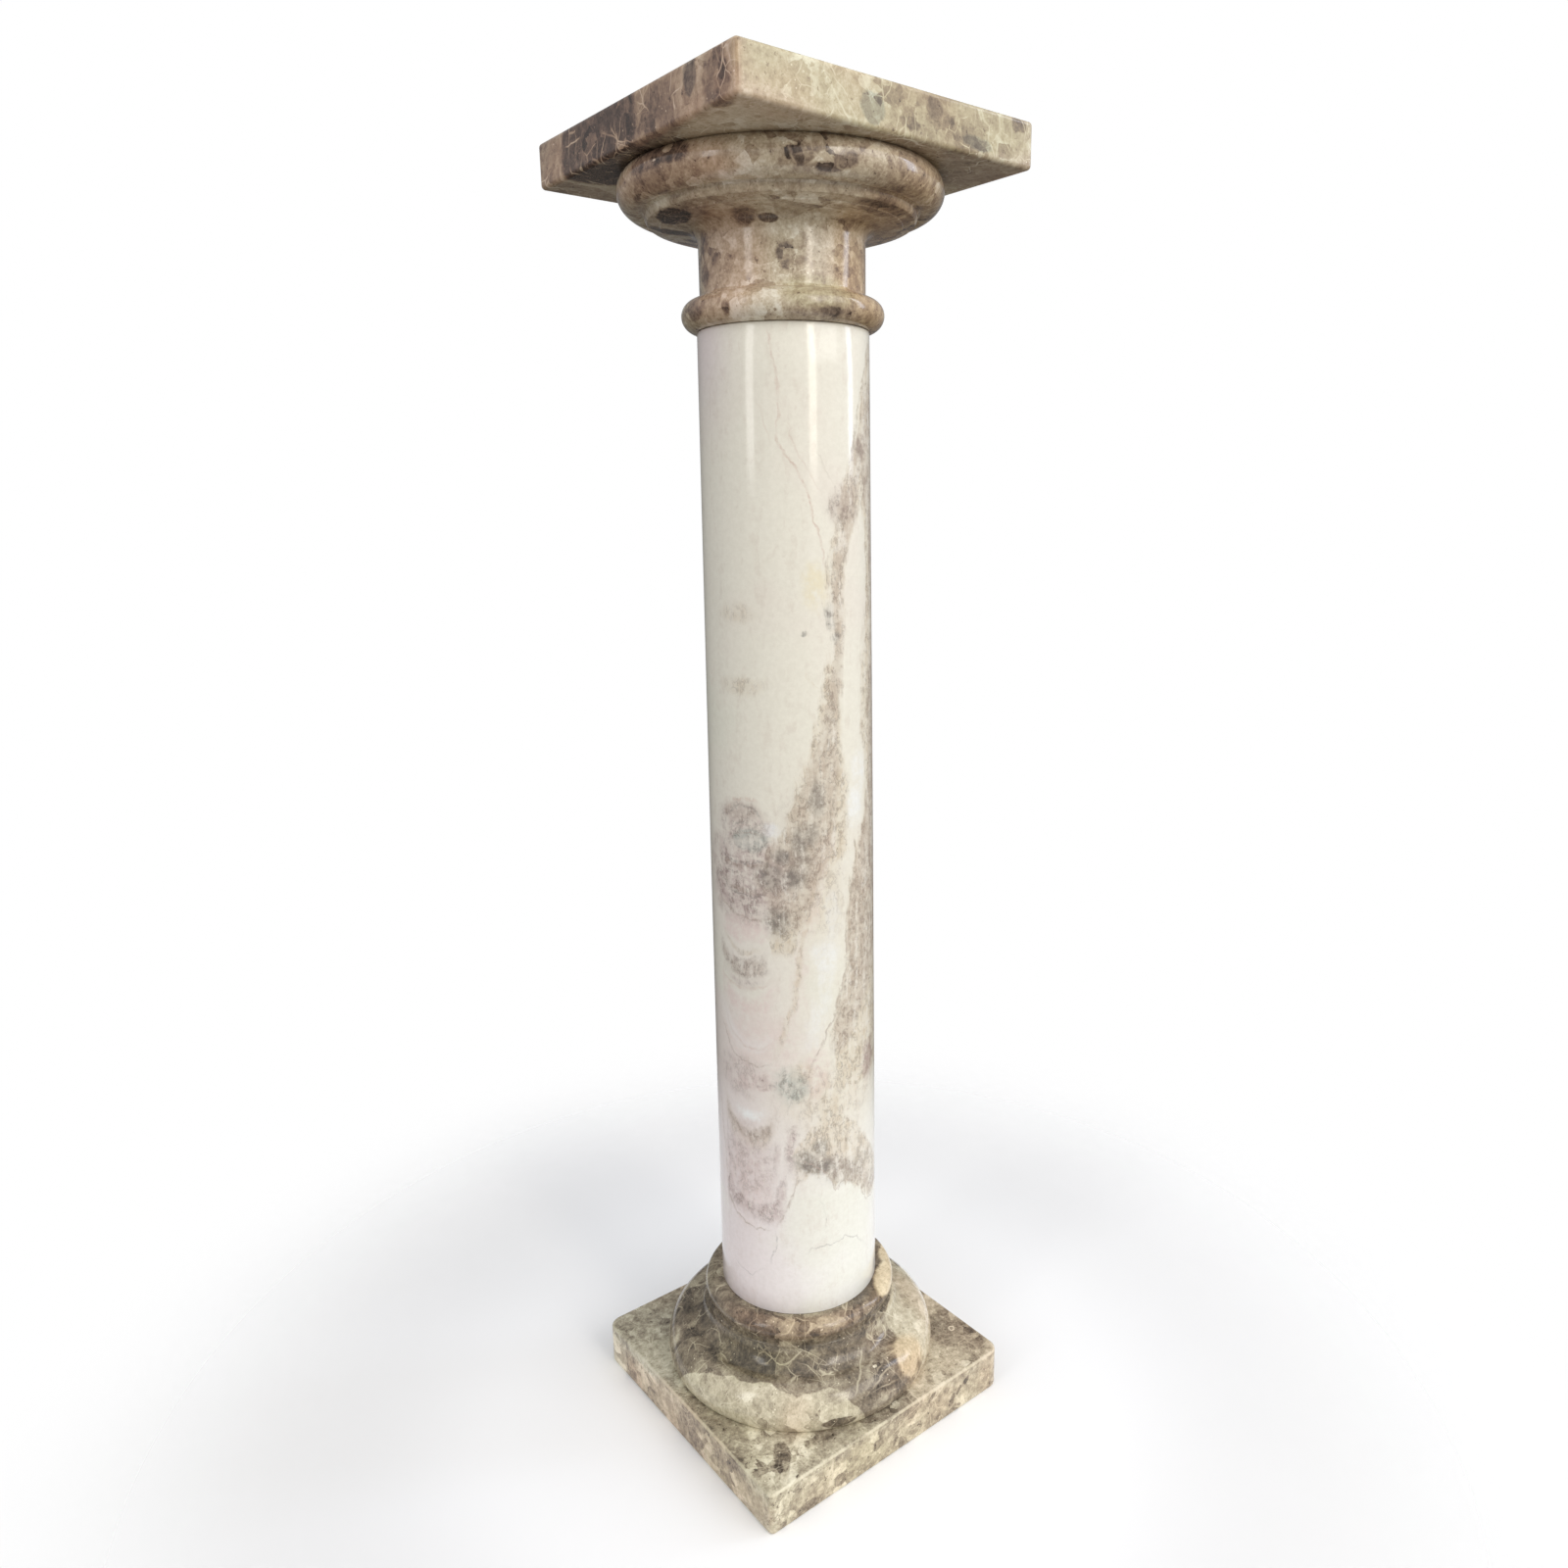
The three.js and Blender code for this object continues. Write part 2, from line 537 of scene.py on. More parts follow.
@dataclass(frozen=True)
class Band:
    """A band of other stone, by where it runs and its two edges.

    A band that runs up has (mm up, left edge, right edge in degrees) points, from the head down.
    One that runs round has (degrees, lower edge, upper edge in mm) points, from left to right.
    """

    tone: Tone
    strength: float
    points: tuple[Place, ...]
    way: Way = Way.UP
    rag: float = 12.0
    soft: float = 6.0

    def mask(self, bench: Bench, radius: float, round_: Wire, up: Wire, ragged: Wire) -> Wire:
        """Where the band shows.

        Args:
            bench: adds the nodes.
            radius: mm to a radian, as the surface was laid out.
            round_: mm round.
            up: mm up.
            ragged: cloudy noise about 0.5 that frays the edges.

        Returns:
            0 to the band's strength.
        """
        scale = math.radians(1) * radius
        run, cross = (1.0, scale) if self.way is Way.UP else (scale, 1.0)
        track = sorted((a * run, b * cross, c * cross) for a, b, c in self.points)
        low, high = track[0][0], track[-1][0]
        floor = min(b for _, b, _ in track) - 1.0
        span = max(c for *_, c in track) + 1.0 - floor
        stops = [
            ((a - low) / (high - low), ((b - floor) / span, (c - floor) / span, 0.0))
            for a, b, c in track
        ]
        along, across = (up, round_) if self.way is Way.UP else (round_, up)
        ramp = bench.wire("ShaderNodeValToRGB", {"stops": stops}, {0: along.spread(low, high)})
        near, far, _ = bench.channels(ramp)
        frayed = (across + (ragged - 0.5) * self.rag).spread(floor, floor + span)
        rise = (frayed - near).rise(-1.0 / span, self.soft / span)
        fall = (far - frayed).rise(-1.0 / span, self.soft / span)
        ends = (along - low).rise(-2.0, 6.0) * (high - along).rise(-2.0, 6.0)
        return rise * fall * ends * self.strength


@dataclass(frozen=True)
class Vein:
    """A line through the stone, by points (degrees round, mm up); the pale one round the right of
    the capital's cove is a painted highlight.
    """

    tone: Tone | Thread
    half: float
    strength: float
    points: tuple[Point, ...]

    def mask(self, bench: Bench, radius: float, round_: Wire, up: Wire, ragged: Wire) -> Wire:
        """Where the line shows.

        Args:
            bench: adds the nodes.
            radius: mm to a radian, as the surface was laid out.
            round_: mm round.
            up: mm up.
            ragged: cloudy noise that thins the line and thickens it.

        Returns:
            0 to the line's strength.
        """
        points = [(math.radians(a) * radius, h) for a, h in self.points]
        heights = [h for _, h in points]
        falls = all(b < a for a, b in zip(heights, heights[1:]))
        rises = all(b > a for a, b in zip(heights, heights[1:]))
        along, other = (1, 0) if falls or rises else (0, 1)
        track = sorted((p[along], p[other]) for p in points)
        low, high = track[0][0], track[-1][0]
        values = [v for _, v in track]
        floor, top = min(values) - 10, max(values) + 10
        span = top - floor
        stops = []
        for i, (t, v) in enumerate(track):
            t0, v0 = track[max(i - 1, 0)]
            t1, v1 = track[min(i + 1, len(track) - 1)]
            slope = (v1 - v0) / max(t1 - t0, 1e-6)
            half = self.half * math.sqrt(1 + slope * slope)
            edge = 0.0 if i in (0, len(track) - 1) else 1.0
            stops.append(((t - low) / (high - low), ((v - floor) / span, half / span, edge)))
        runner, crossing = (up, round_) if along else (round_, up)
        ramp = bench.wire("ShaderNodeValToRGB", {"stops": stops}, {0: runner.spread(low, high)})
        centre, half_, shown = bench.channels(ramp)
        away = abs(crossing.spread(floor, top) - centre) / half_ * ragged
        return away.rise(1.7, 0.2, self.strength) * shown


@dataclass(frozen=True)
class Patch:
    """An oval patch of the stone, by its centre and half sizes (degrees round, mm up); the pale one
    on the capital's astragal is a painted highlight.
    """

    tone: Tone | float
    centre: Point
    half: Point
    strength: float
    soft: float = 0.5

    def mask(self, bench: Bench, radius: float, layout: Wire) -> Wire:
        """Where the patch shows.

        Args:
            bench: adds the nodes.
            radius: mm to a radian, as the surface was laid out.
            layout: mm round and mm up.

        Returns:
            0 to the patch's strength.
        """
        scale = math.radians(1) * radius
        across, up = 1 / (self.half[0] * scale), 1 / self.half[1]
        moved = bench.vector(
            "MULTIPLY_ADD",
            layout,
            (across, up, 0.0),
            (-self.centre[0] * scale * across, -self.centre[1] * up, 0.0),
        )
        away = bench.vector("LENGTH", moved, output="Value")
        return away.rise(1.0 + self.soft / 2, 1.0 - self.soft / 2, self.strength)


@dataclass(frozen=True)
class Lump:
    """A lump of other stone inside a slab, by its centre and half sizes in mm; the darker one under
    the top slab is painted shade.
    """

    tone: float
    centre: Place
    half: Place
    strength: float
    soft: float = 0.3
    turned: Place = (0.0, 0.0, 0.0)

    def mask(self, bench: Bench, layout: Wire) -> Wire:
        """Where the lump shows.

        Args:
            bench: adds the nodes.
            layout: the place in the slab, in mm.

        Returns:
            0 to the lump's strength.
        """
        if any(self.turned):
            moved = bench.wire(
                "ShaderNodeMapping",
                {"vector_type": "TEXTURE"},
                {
                    "Vector": layout,
                    "Location": self.centre,
                    "Rotation": tuple(math.radians(a) for a in self.turned),
                    "Scale": self.half,
                },
            )
        else:
            shrink = tuple(1 / h for h in self.half)
            start = tuple(-c / h for c, h in zip(self.centre, self.half))
            moved = bench.vector("MULTIPLY_ADD", layout, shrink, start)
        away = bench.vector("LENGTH", moved, output="Value")
        return away.rise(1.0 + self.soft / 2, 1.0 - self.soft / 2, self.strength)


@dataclass(frozen=True)
class Border:
    """A border round a turned stone, by points (degrees round, mm up), left to right."""

    points: tuple[Point, ...]

    def height(self, bench: Bench, radius: float, round_: Wire) -> Wire:
        """The border's height at each place round the stone.

        Args:
            bench: adds the nodes.
            radius: mm to a radian, as the surface was laid out.
            round_: mm round.

        Returns:
            The height, in mm.
        """
        heights = [h for _, h in self.points]
        floor, top = min(heights), max(heights)
        left, right = self.points[0][0], self.points[-1][0]
        stops = [
            ((a - left) / (right - left), ((h - floor) / (top - floor), 0.0, 0.0))
            for a, h in self.points
        ]
        scale = math.radians(1) * radius
        ramp = bench.wire(
            "ShaderNodeValToRGB", {"stops": stops}, {0: round_.spread(left * scale, right * scale)}
        )
        return bench.channels(ramp)[0] * (top - floor) + floor


class Cast(Enum):
    """Casts of colour that part of a stone may have, as a multiplied colour; the green one on the
    capital's astragal tints a painted highlight.
    """

    PINK = 0xFAE9E4
    GREEN = 0xF0F3E6
    PEACH = 0xFFF0DE
    BLUE = 0xE4EBF2

    def over(self, bench: Bench, share: Wire, colour: Wire) -> Wire:
        """Lays the cast over a colour.

        Args:
            bench: adds the nodes.
            share: where it lies, from 0 to 1.
            colour: the colour so far.

        Returns:
            The colour with its cast.
        """
        cast = bench.tint(1.0, colour, linear(self.value), "MULTIPLY")
        return bench.tint(share, colour, cast)


def polish(
    bench: Bench,
    colour: Wire,
    roughness: Wire | float,
    height: Wire | None = None,
    depth: float = 0.0001,
    specular: float = 0.5,
) -> None:
    """Ends a material in polished stone.

    Args:
        bench: adds the nodes.
        colour: the stone's colour.
        roughness: how dull the polish is.
        height: small pits and ridges, 0 to 1, or None.
        depth: metres from 0 to 1 of height.
        specular: strength of the gloss.
    """
    inputs: dict[str | int, Any] = {
        "Base Color": colour,
        "Roughness": roughness,
        "Specular IOR Level": specular,
    }
    if height is not None:
        inputs["Normal"] = bench.wire(
            "ShaderNodeBump", None, {"Strength": 1.0, "Distance": depth, "Height": height}
        )
    shader = bench.node("ShaderNodeBsdfPrincipled", None, inputs)
    bench.node("ShaderNodeOutputMaterial", None, {0: shader.outputs[0]})


def new_material(name: str) -> tuple[bpy.types.Material, Bench]:
    """Adds an empty material.

    Args:
        name: the material's name.

    Returns:
        The material and a bench for its nodes.
    """
    material = bpy.data.materials.new(name)
    return material, Bench(material)


def drifted(bench: Bench, place: Wire, *steps: tuple[float, float]) -> Wire:
    """A place moved about by noise.

    Args:
        bench: adds the nodes.
        place: the place, in metres.
        steps: (noise scale, farthest move in metres) of each step.

    Returns:
        The moved place.
    """
    moved = place
    for scale, reach in steps:
        drift = bench.join(*bench.channels(bench.noise(place, scale, 2.0, 0.55, 1)))
        moved = bench.vector(
            "ADD", bench.vector("MULTIPLY_ADD", drift, (2 * reach,) * 3, (-reach,) * 3), moved
        )
    return moved


# ---------------------------------------------------------------- finishes

SOFT_TONES = (Tone.YELLOW, Tone.WHITE, Tone.BLUSH)
SWIRLED_TONES = (Tone.MAUVE, Tone.GREEN)


@dataclass(frozen=True)
class ShaftMarble:
    """Cream marble with rose, tan and grey stains that sweep down and turn up again in arcs.

    A stain is drawn as a thin spread of its tone that shows only where cloudy noise is high, so
    its edges break up as they do in the stone.
    """

    radius: float = 65.0
    veins: tuple[Vein, ...] = ()
    crescents: tuple[Vein, ...] = ()
    patches: tuple[Patch, ...] = ()
    bands: tuple[Band, ...] = ()
    ground: int = 0xEBE7D9
    pale_foot: int = 0xEFEDE8
    # rose-grey of a pink tint at the upper left and of painted shade along the lower left
    pink_tint_and_left_shade: int = 0xE2D6D5
    cool_cloud: int = 0xE6E6D6
    warm_cloud: int = 0xE6DAD0
    wisp: int = 0xC2AC9C
    dirty_curl: int = 0x7F726A
    dirty_streak: int = 0x8C7D72
    clean_streak: int = 0xEEE9DF
    grain_low: int = 0xC4BCB0
    grain_high: int = 0xFFFFFF

    @staticmethod
    def _stain(bench: Bench, colour: Any, tone: Tone, shown: Wire, mottle: Wire) -> Wire:
        """Lays one tone over the colour: a wash, and blots where the mottle calls for them.

        Args:
            bench: adds the nodes.
            colour: the colour so far.
            tone: the stain's tone.
            shown: where it lies, from 0 to 1.
            mottle: cloudy noise about 0.5.

        Returns:
            The stained colour.
        """
        shade = linear(tone.value)
        wash = shown * (mottle.rise(0.4, 0.6) * 0.55 + 0.3)
        colour = bench.tint(wash, colour, shade)
        blots = (mottle + shown * 0.36).rise(0.84, 0.98)
        return bench.tint(blots * 0.42, colour, tuple(0.7 * c for c in shade[:3]) + (1.0,))

    def make(self) -> bpy.types.Material:
        """Builds the material.

        Returns:
            The finished material.
        """
        material, bench = new_material("shaft_marble")
        place = Wire(bench, bench.place)
        clouds = bench.noise(place, 7.0, 3.0)
        fine = bench.noise(place, 260.0, 4.0, 0.7)
        blots = bench.noise(place, 105.0, 6.0, 0.72)
        tall = bench.vector("MULTIPLY", drifted(bench, place, (40.0, 0.005)), (1.0, 1.0, 0.12))
        streaks = bench.noise(tall, 190.0, 5.0, 0.68)
        mottle = blots * 0.5 + streaks * 0.28 + fine * 0.22
        swirls = bench.noise(
            bench.vector("MULTIPLY", drifted(bench, place, (30.0, 0.012)), (1.0, 1.0, 2.2)),
            80.0,
            5.0,
            0.68,
        )
        swirled = blots * 0.45 + swirls * 0.4 + fine * 0.15
        wisps = abs(bench.noise(tall, 46.0, 3.0, 0.6) - 0.5).rise(0.05, 0.0)
        upright = bench.vector("MULTIPLY", drifted(bench, place, (70.0, 0.006)), (1.0, 1.0, 0.4))
        curls = abs(bench.noise(upright, 110.0, 5.0, 0.72) - 0.5).rise(0.05, 0.004)

        round_, up, layout = Unrolled(
            bench, self.radius, 130.0, ((22.0, 4.0), (80.0, 3.2), (300.0, 1.4))
        ).lay(streaks, 3.0)

        # a quiet ground: cream, with painted shade in rose-grey towards the left of the lower shaft
        # and a pink tint at the upper left, cooler and whiter towards the foot
        colour: Any = linear(self.ground)
        # the first term is painted shade towards the left of the lower shaft; the second is a pink
        # tint in the stone at the upper left
        pink_tint_and_left_shade = (up.rise(620.0, 150.0) * round_.rise(45.0, -60.0)).larger(
            up.rise(780.0, 880.0) * round_.rise(-25.0, -70.0)
        )
        colour = bench.tint(up.rise(330.0, 140.0), colour, linear(self.pale_foot))
        colour = bench.tint(pink_tint_and_left_shade * 0.85, colour, linear(self.pink_tint_and_left_shade))
        colour = bench.tint(clouds.rise(0.46, 0.34) * 0.5, colour, linear(self.cool_cloud))
        colour = bench.tint(clouds.rise(0.56, 0.7) * 0.35, colour, linear(self.warm_cloud))
        colour = bench.tint(wisps * blots.rise(0.45, 0.62) * 0.16, colour, linear(self.wisp))

        # stains, from the palest to the darkest; dirt is where any of them is
        dirt: Wire | None = None
        for tone in Tone:
            shown: Wire | None = None
            for patch in self.patches:
                if patch.tone == tone:
                    mask = patch.mask(bench, self.radius, layout)
                    shown = mask if shown is None else shown.larger(mask)
            for band in self.bands:
                if band.tone == tone:
                    mask = band.mask(bench, self.radius, round_, up, streaks)
                    shown = mask if shown is None else shown.larger(mask)
            for crescent in self.crescents:
                if crescent.tone == tone:
                    mask = crescent.mask(bench, self.radius, round_, up, mottle * 2.0)
                    shown = mask if shown is None else shown.larger(mask)
            if shown is None:
                continue
            if tone in SOFT_TONES:
                colour = bench.tint(shown * blots.rise(0.3, 0.6), colour, linear(tone.value))
            else:
                pattern = swirled if tone in SWIRLED_TONES else mottle
                colour = self._stain(bench, colour, tone, shown, pattern)
                dirt = shown if dirt is None else dirt.larger(shown)

        # threads of dirt and of clean stone that run through the stains
        colour = bench.tint(
            dirt * curls * blots.rise(0.4, 0.54) * 0.55, colour, linear(self.dirty_curl)
        )
        dirty = dirt * (streaks * 0.7 + fine * 0.3).rise(0.54, 0.66) * 0.4
        colour = bench.tint(dirty, colour, linear(self.dirty_streak))
        clean = dirt * (streaks * 0.6 + fine * 0.4).rise(0.48, 0.38) * 0.6
        colour = bench.tint(clean, colour, linear(self.clean_streak))

        broken = (blots - 0.3).larger(0.0) * 4.0 + 0.4
        for tone in Tone:
            shown = None
            for vein in self.veins:
                if vein.tone == tone:
                    mask = vein.mask(bench, self.radius, round_, up, broken)
                    shown = mask if shown is None else shown.larger(mask)
            if shown is not None:
                colour = bench.tint(
                    shown * (blots * 0.5 + fine * 0.5).rise(0.36, 0.6), colour, linear(tone.value)
                )
        crystal = bench.tint(
            fine.rise(0.3, 0.7), linear(self.grain_low), linear(self.grain_high)
        )
        colour = bench.tint(0.12, colour, crystal, "MULTIPLY")
        polish(bench, colour, 0.1 + fine * 0.05, fine, 0.00001)
        return material


@dataclass(frozen=True)
class Breccia:
    """Brown marble of broken lumps, knit together by pale threads."""

    name: str
    ramp: tuple[tuple[float, int], ...]
    middle: float = 0.45
    contrast: float = 1.0
    mottle: float = 1.0
    lump_scale: float = 22.0
    threads: float = 0.6
    specks: float = 0.5
    gloss: float = 0.12
    radius: float = 100.0
    lean: float = 0.0
    patches: tuple[Patch, ...] = ()
    veins: tuple[Vein, ...] = ()
    lumps: tuple[Lump, ...] = ()
    casts: tuple[tuple[Cast, Lump | Patch], ...] = ()
    pale_below: Border | None = None
    painted_arris_highlight: tuple[float, float] | None = None  # half side and top of a slab whose top arrises get a painted highlight, in mm

    def _painted_arris_highlight(self, bench: Bench, place: Wire) -> Wire:
        """Where the top arrises of a slab are painted pale, as a painted highlight.

        Args:
            bench: adds the nodes.
            place: the place in the slab, in metres.

        Returns:
            0 to 1.
        """
        side, top = self.painted_arris_highlight
        out, back, up = (
            bench.vector("DOT_PRODUCT", place, way, output="Value")
            for way in ((1000.0, 0.0, 0.0), (0.0, 1000.0, 0.0), (0.0, 0.0, 1000.0))
        )
        edge = abs(out).larger(abs(back)).rise(side - 2.0, side - 0.9)
        return edge * up.rise(top - 2.6, top - 1.4)

    def make(self) -> bpy.types.Material:
        """Builds the material.

        Returns:
            The finished material.
        """
        material, bench = new_material(self.name)
        place = Wire(bench, bench.place)
        warped = drifted(bench, place, (26.0, 0.006), (110.0, 0.0026), (380.0, 0.0007))
        torn = drifted(bench, place, (26.0, 0.006), (90.0, 0.0016))

        cell = bench.channels(bench.cells(torn, self.lump_scale, output="Color"))[0]
        chip = bench.channels(bench.cells(warped, 105.0, output="Color"))[0]
        clouds = bench.noise(warped, 17.0, 5.0, 0.62)
        grain = bench.noise(place, 170.0, 6.0, 0.72)
        fine = bench.noise(place, 620.0, 3.0, 0.6)
        broken = (grain - 0.35).larger(0.0) * 3.2 + 0.5
        local = (clouds - 0.5) * 0.5
        tone: Any = (
            (cell - 0.5) * (0.3 * self.contrast) + (clouds - 0.5) * (0.9 * self.contrast)
        ) + self.middle

        round_ = up = layout = in_mm = None
        if self.patches or self.veins or self.pale_below:
            round_, up, layout = Unrolled(
                bench, self.radius, 40.0, ((26.0, 3.4), (100.0, 1.3), (420.0, 0.6)), self.lean
            ).lay()
        if self.pale_below:
            below = (self.pale_below.height(bench, self.radius, round_) - up).rise(-0.6, 1.4)
            tone = bench.blend(below, tone, local * 0.7 + 0.71)
        for patch in self.patches:
            tone = bench.blend(
                patch.mask(bench, self.radius, layout), tone, local * 0.6 + float(patch.tone)
            )
        if self.lumps or self.casts:
            in_mm = bench.vector("SCALE", warped, Scale=1000.0)
        for lump in self.lumps:
            tone = bench.blend(lump.mask(bench, in_mm), tone, local * 0.6 + lump.tone)

        chippy = bench.noise(place, 33.0, 3.0).rise(0.42, 0.6)
        tone = tone + (chip - 0.5) * chippy * (0.34 * self.mottle)
        tone = tone + (grain - 0.5) * (0.8 * self.mottle) + (fine - 0.5) * (0.3 * self.mottle)

        knit = bench.cells(torn, self.lump_scale, "DISTANCE_TO_EDGE")
        shown = bench.noise(place, 31.0, 2.0).rise(0.45, 0.62)
        lines = (knit * broken).rise(0.016, 0.002) * shown
        net = bench.cells(torn, 62.0, "DISTANCE_TO_EDGE")
        meshes = (net * broken).rise(0.03, 0.004)
        lines = lines.larger(meshes * bench.noise(place, 43.0, 2.0).rise(0.5, 0.66))
        slanted = bench.wire(
            "ShaderNodeMapping",
            None,
            {"Vector": torn, "Rotation": (0.6, 0.35, 0.5), "Scale": (1.0, 1.0, 0.3)},
        )
        splinters = bench.cells(slanted, 80.0, "DISTANCE_TO_EDGE")
        lines = lines.larger((splinters * broken).rise(0.03, 0.004) * shown * 0.7)
        rills = abs(bench.noise(torn, 36.0, 3.0, 0.55) - 0.5)
        lines = lines.larger((rills * broken).rise(0.008, 0.001) * 0.22)
        pale: Any = lines * self.threads
        dark: Any = 0.0
        for vein in self.veins:
            mask = vein.mask(bench, self.radius, round_, up, broken)
            if vein.tone is Thread.PALE:
                pale = pale.larger(mask * 0.6)
            else:
                dark = mask if isinstance(dark, float) else dark.larger(mask)
        tone = tone + pale * (1.0 - tone).larger(0.1) * 0.9
        if not isinstance(dark, float):
            tone = tone - dark * 0.3
        dots = bench.cells(place, 210.0).rise(0.17, 0.05)
        dots = dots * bench.noise(place, 50.0, 1.0).rise(0.52, 0.62)
        flecks = bench.noise(place, 300.0, 2.0, 0.5).rise(0.66, 0.74)
        tone = (tone + dots * self.specks - flecks * 0.22 * self.mottle).clamped()
        # painted highlight: the top arrises are painted pale, broken up by the clouds
        if self.painted_arris_highlight:
            worn = self._painted_arris_highlight(bench, place) * clouds.rise(0.34, 0.5) * 0.62
            tone = bench.blend(worn, tone, 0.92)
        colour = bench.wire(
            "ShaderNodeValToRGB",
            {"stops": [(t, linear(c)[:3]) for t, c in self.ramp]},
            {0: tone},
        )
        hue = bench.noise(place, 10.0, 2.0)
        colour = Cast.PINK.over(bench, hue.rise(0.5, 0.66) * 0.5, colour)
        colour = Cast.GREEN.over(bench, hue.rise(0.48, 0.34) * 0.35, colour)
        for cast, where in self.casts:
            mask = (
                where.mask(bench, in_mm)
                if isinstance(where, Lump)
                else where.mask(bench, self.radius, layout)
            )
            colour = cast.over(bench, mask, colour)
        polish(bench, colour, self.gloss + grain * 0.08, grain, 0.00004, 0.42)
        return material


# ---------------------------------------------------------------- the stones


class Stone:
    """What every stone of the column shares: it rides on the root and stands for its CAD node."""

    name: str

    def seat(self, piece: bpy.types.Object, material: bpy.types.Material) -> bpy.types.Object:
        """Dresses the piece and ties it to the frame.

        Args:
            piece: the built mesh object.
            material: its finish.

        Returns:
            The same object.
        """
        piece.data.materials.clear()
        piece.data.materials.append(material)
        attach(piece, "root")
        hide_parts(self.name)
        return piece


BROWNS = (
    (0.0, 0x3D342B),
    (0.18, 0x5A5146),
    (0.36, 0x807361),
    (0.55, 0xA49983),
    (0.75, 0xC6BCA2),
    (1.0, 0xE6DEC6),
)

TAUPES = (
    (0.0, 0x3C322B),
    (0.18, 0x5C4F46),
    (0.36, 0x857465),
    (0.55, 0xAA9882),
    (0.75, 0xCABCA3),
    (1.0, 0xEAE3D3),
)

PLINTH_LUMPS = (
    Lump(0.78, (-112, 62, 36), (24, 34, 12), 0.85, 0.25),
    Lump(0.6, (-92, 96, 36), (26, 26, 14), 0.8, 0.4),
    Lump(0.36, (-97, -101, 36), (7, 18, 8), 0.85, 0.25, (0, 0, -28)),
    Lump(0.38, (-62, -106, 36), (15, 9, 9), 0.85, 0.25),
    Lump(0.6, (-76, -116, 34), (22, 10, 14), 0.8, 0.3),
    Lump(0.45, (-118, -60, 30), (14, 44, 16), 0.7, 0.5),
    Lump(0.4, (112, -84, 36), (26, 30, 12), 0.8, 0.4),
    Lump(0.75, (70, -108, 36), (34, 14, 10), 0.8, 0.35),
    Lump(0.66, (-20, -125, 16), (58, 12, 18), 0.7, 0.4),
    Lump(0.36, (-88, -125, 6), (12, 8, 6), 0.8, 0.3),
    Lump(0.3, (66, -125, 14), (3.2, 5, 6.5), 0.95, 0.25, (0, 25, 0)),
    Lump(0.28, (83, -125, 25), (3, 5, 4.6), 0.95, 0.25, (0, 25, 0)),
    Lump(0.3, (74, -125, 20), (2, 5, 5), 0.9, 0.25, (0, 30, 0)),
    Lump(0.3, (42, -125, 30), (2, 5, 5), 0.9, 0.25, (0, 35, 0)),
    Lump(0.85, (-119, -17, 36), (2, 2.6, 2), 1.0, 0.2),
    Lump(0.85, (-120, 64, 36), (1.6, 1.6, 2), 1.0, 0.2),
    Lump(0.88, (109, -83, 36), (3.4, 2.6, 3), 1.0, 0.2),
    Lump(0.45, (109, -83, 36), (2.0, 1.4, 3), 1.0, 0.2),
)

PLINTH_CASTS = (
    (Cast.BLUE, Lump(0, (-105, 70, 36), (40, 60, 10), 0.5, 0.6)),
    (Cast.PINK, Lump(0, (-128, -10, 14), (8, 120, 24), 0.6, 0.5)),
    (Cast.PEACH, Lump(0, (10, -128, 14), (120, 8, 22), 0.3, 0.6)),
)


@dataclass
class Plinth(Stone):
    """The square slab that the column stands on."""

    name: str = "plinth"
    side: float = 250.0
    height: float = 36.0
    near_corner: float = 4.2
    worn_corner: float = 11.0
    arris: float = 2.4

    def build(self) -> bpy.types.Object:
        """Cuts the slab.

        Returns:
            The piece.
        """
        worn = self.worn_corner
        corners = {(-1, -1): self.near_corner, (-1, 1): worn, (1, -1): worn, (1, 1): worn}
        return cut_slab("plinth_stone", self.side, 0.0, self.height, corners, self.arris)

    def dress(self, piece: bpy.types.Object) -> bpy.types.Object:
        """Gives the slab its marble.

        Args:
            piece: the built mesh object.

        Returns:
            The same object.
        """
        finish = Breccia(
            "plinth_marble",
            BROWNS,
            middle=0.58,
            contrast=0.85,
            mottle=1.5,
            threads=0.5,
            gloss=0.18,
            lumps=PLINTH_LUMPS,
            casts=PLINTH_CASTS,
            # painted highlight along the plinth's top arrises
            painted_arris_highlight=(125.0, 36.0),
        )
        return self.seat(piece, finish.make())


BASE_BORDER = Border(
    (
        (-90, -60), (-62, -76), (-58, -68), (-52, -54), (-44, -44), (-37, -41), (-33, -35),
        (-30, -37), (-23, -36), (-19, -32), (-13, -31), (-9, -39), (-4, -41), (-2, -45),
        (1, -41), (9, -38), (13, -36), (17, -42), (20, -55), (23, -64), (27, -80), (40, -84),
        (90, -50),
    )
)

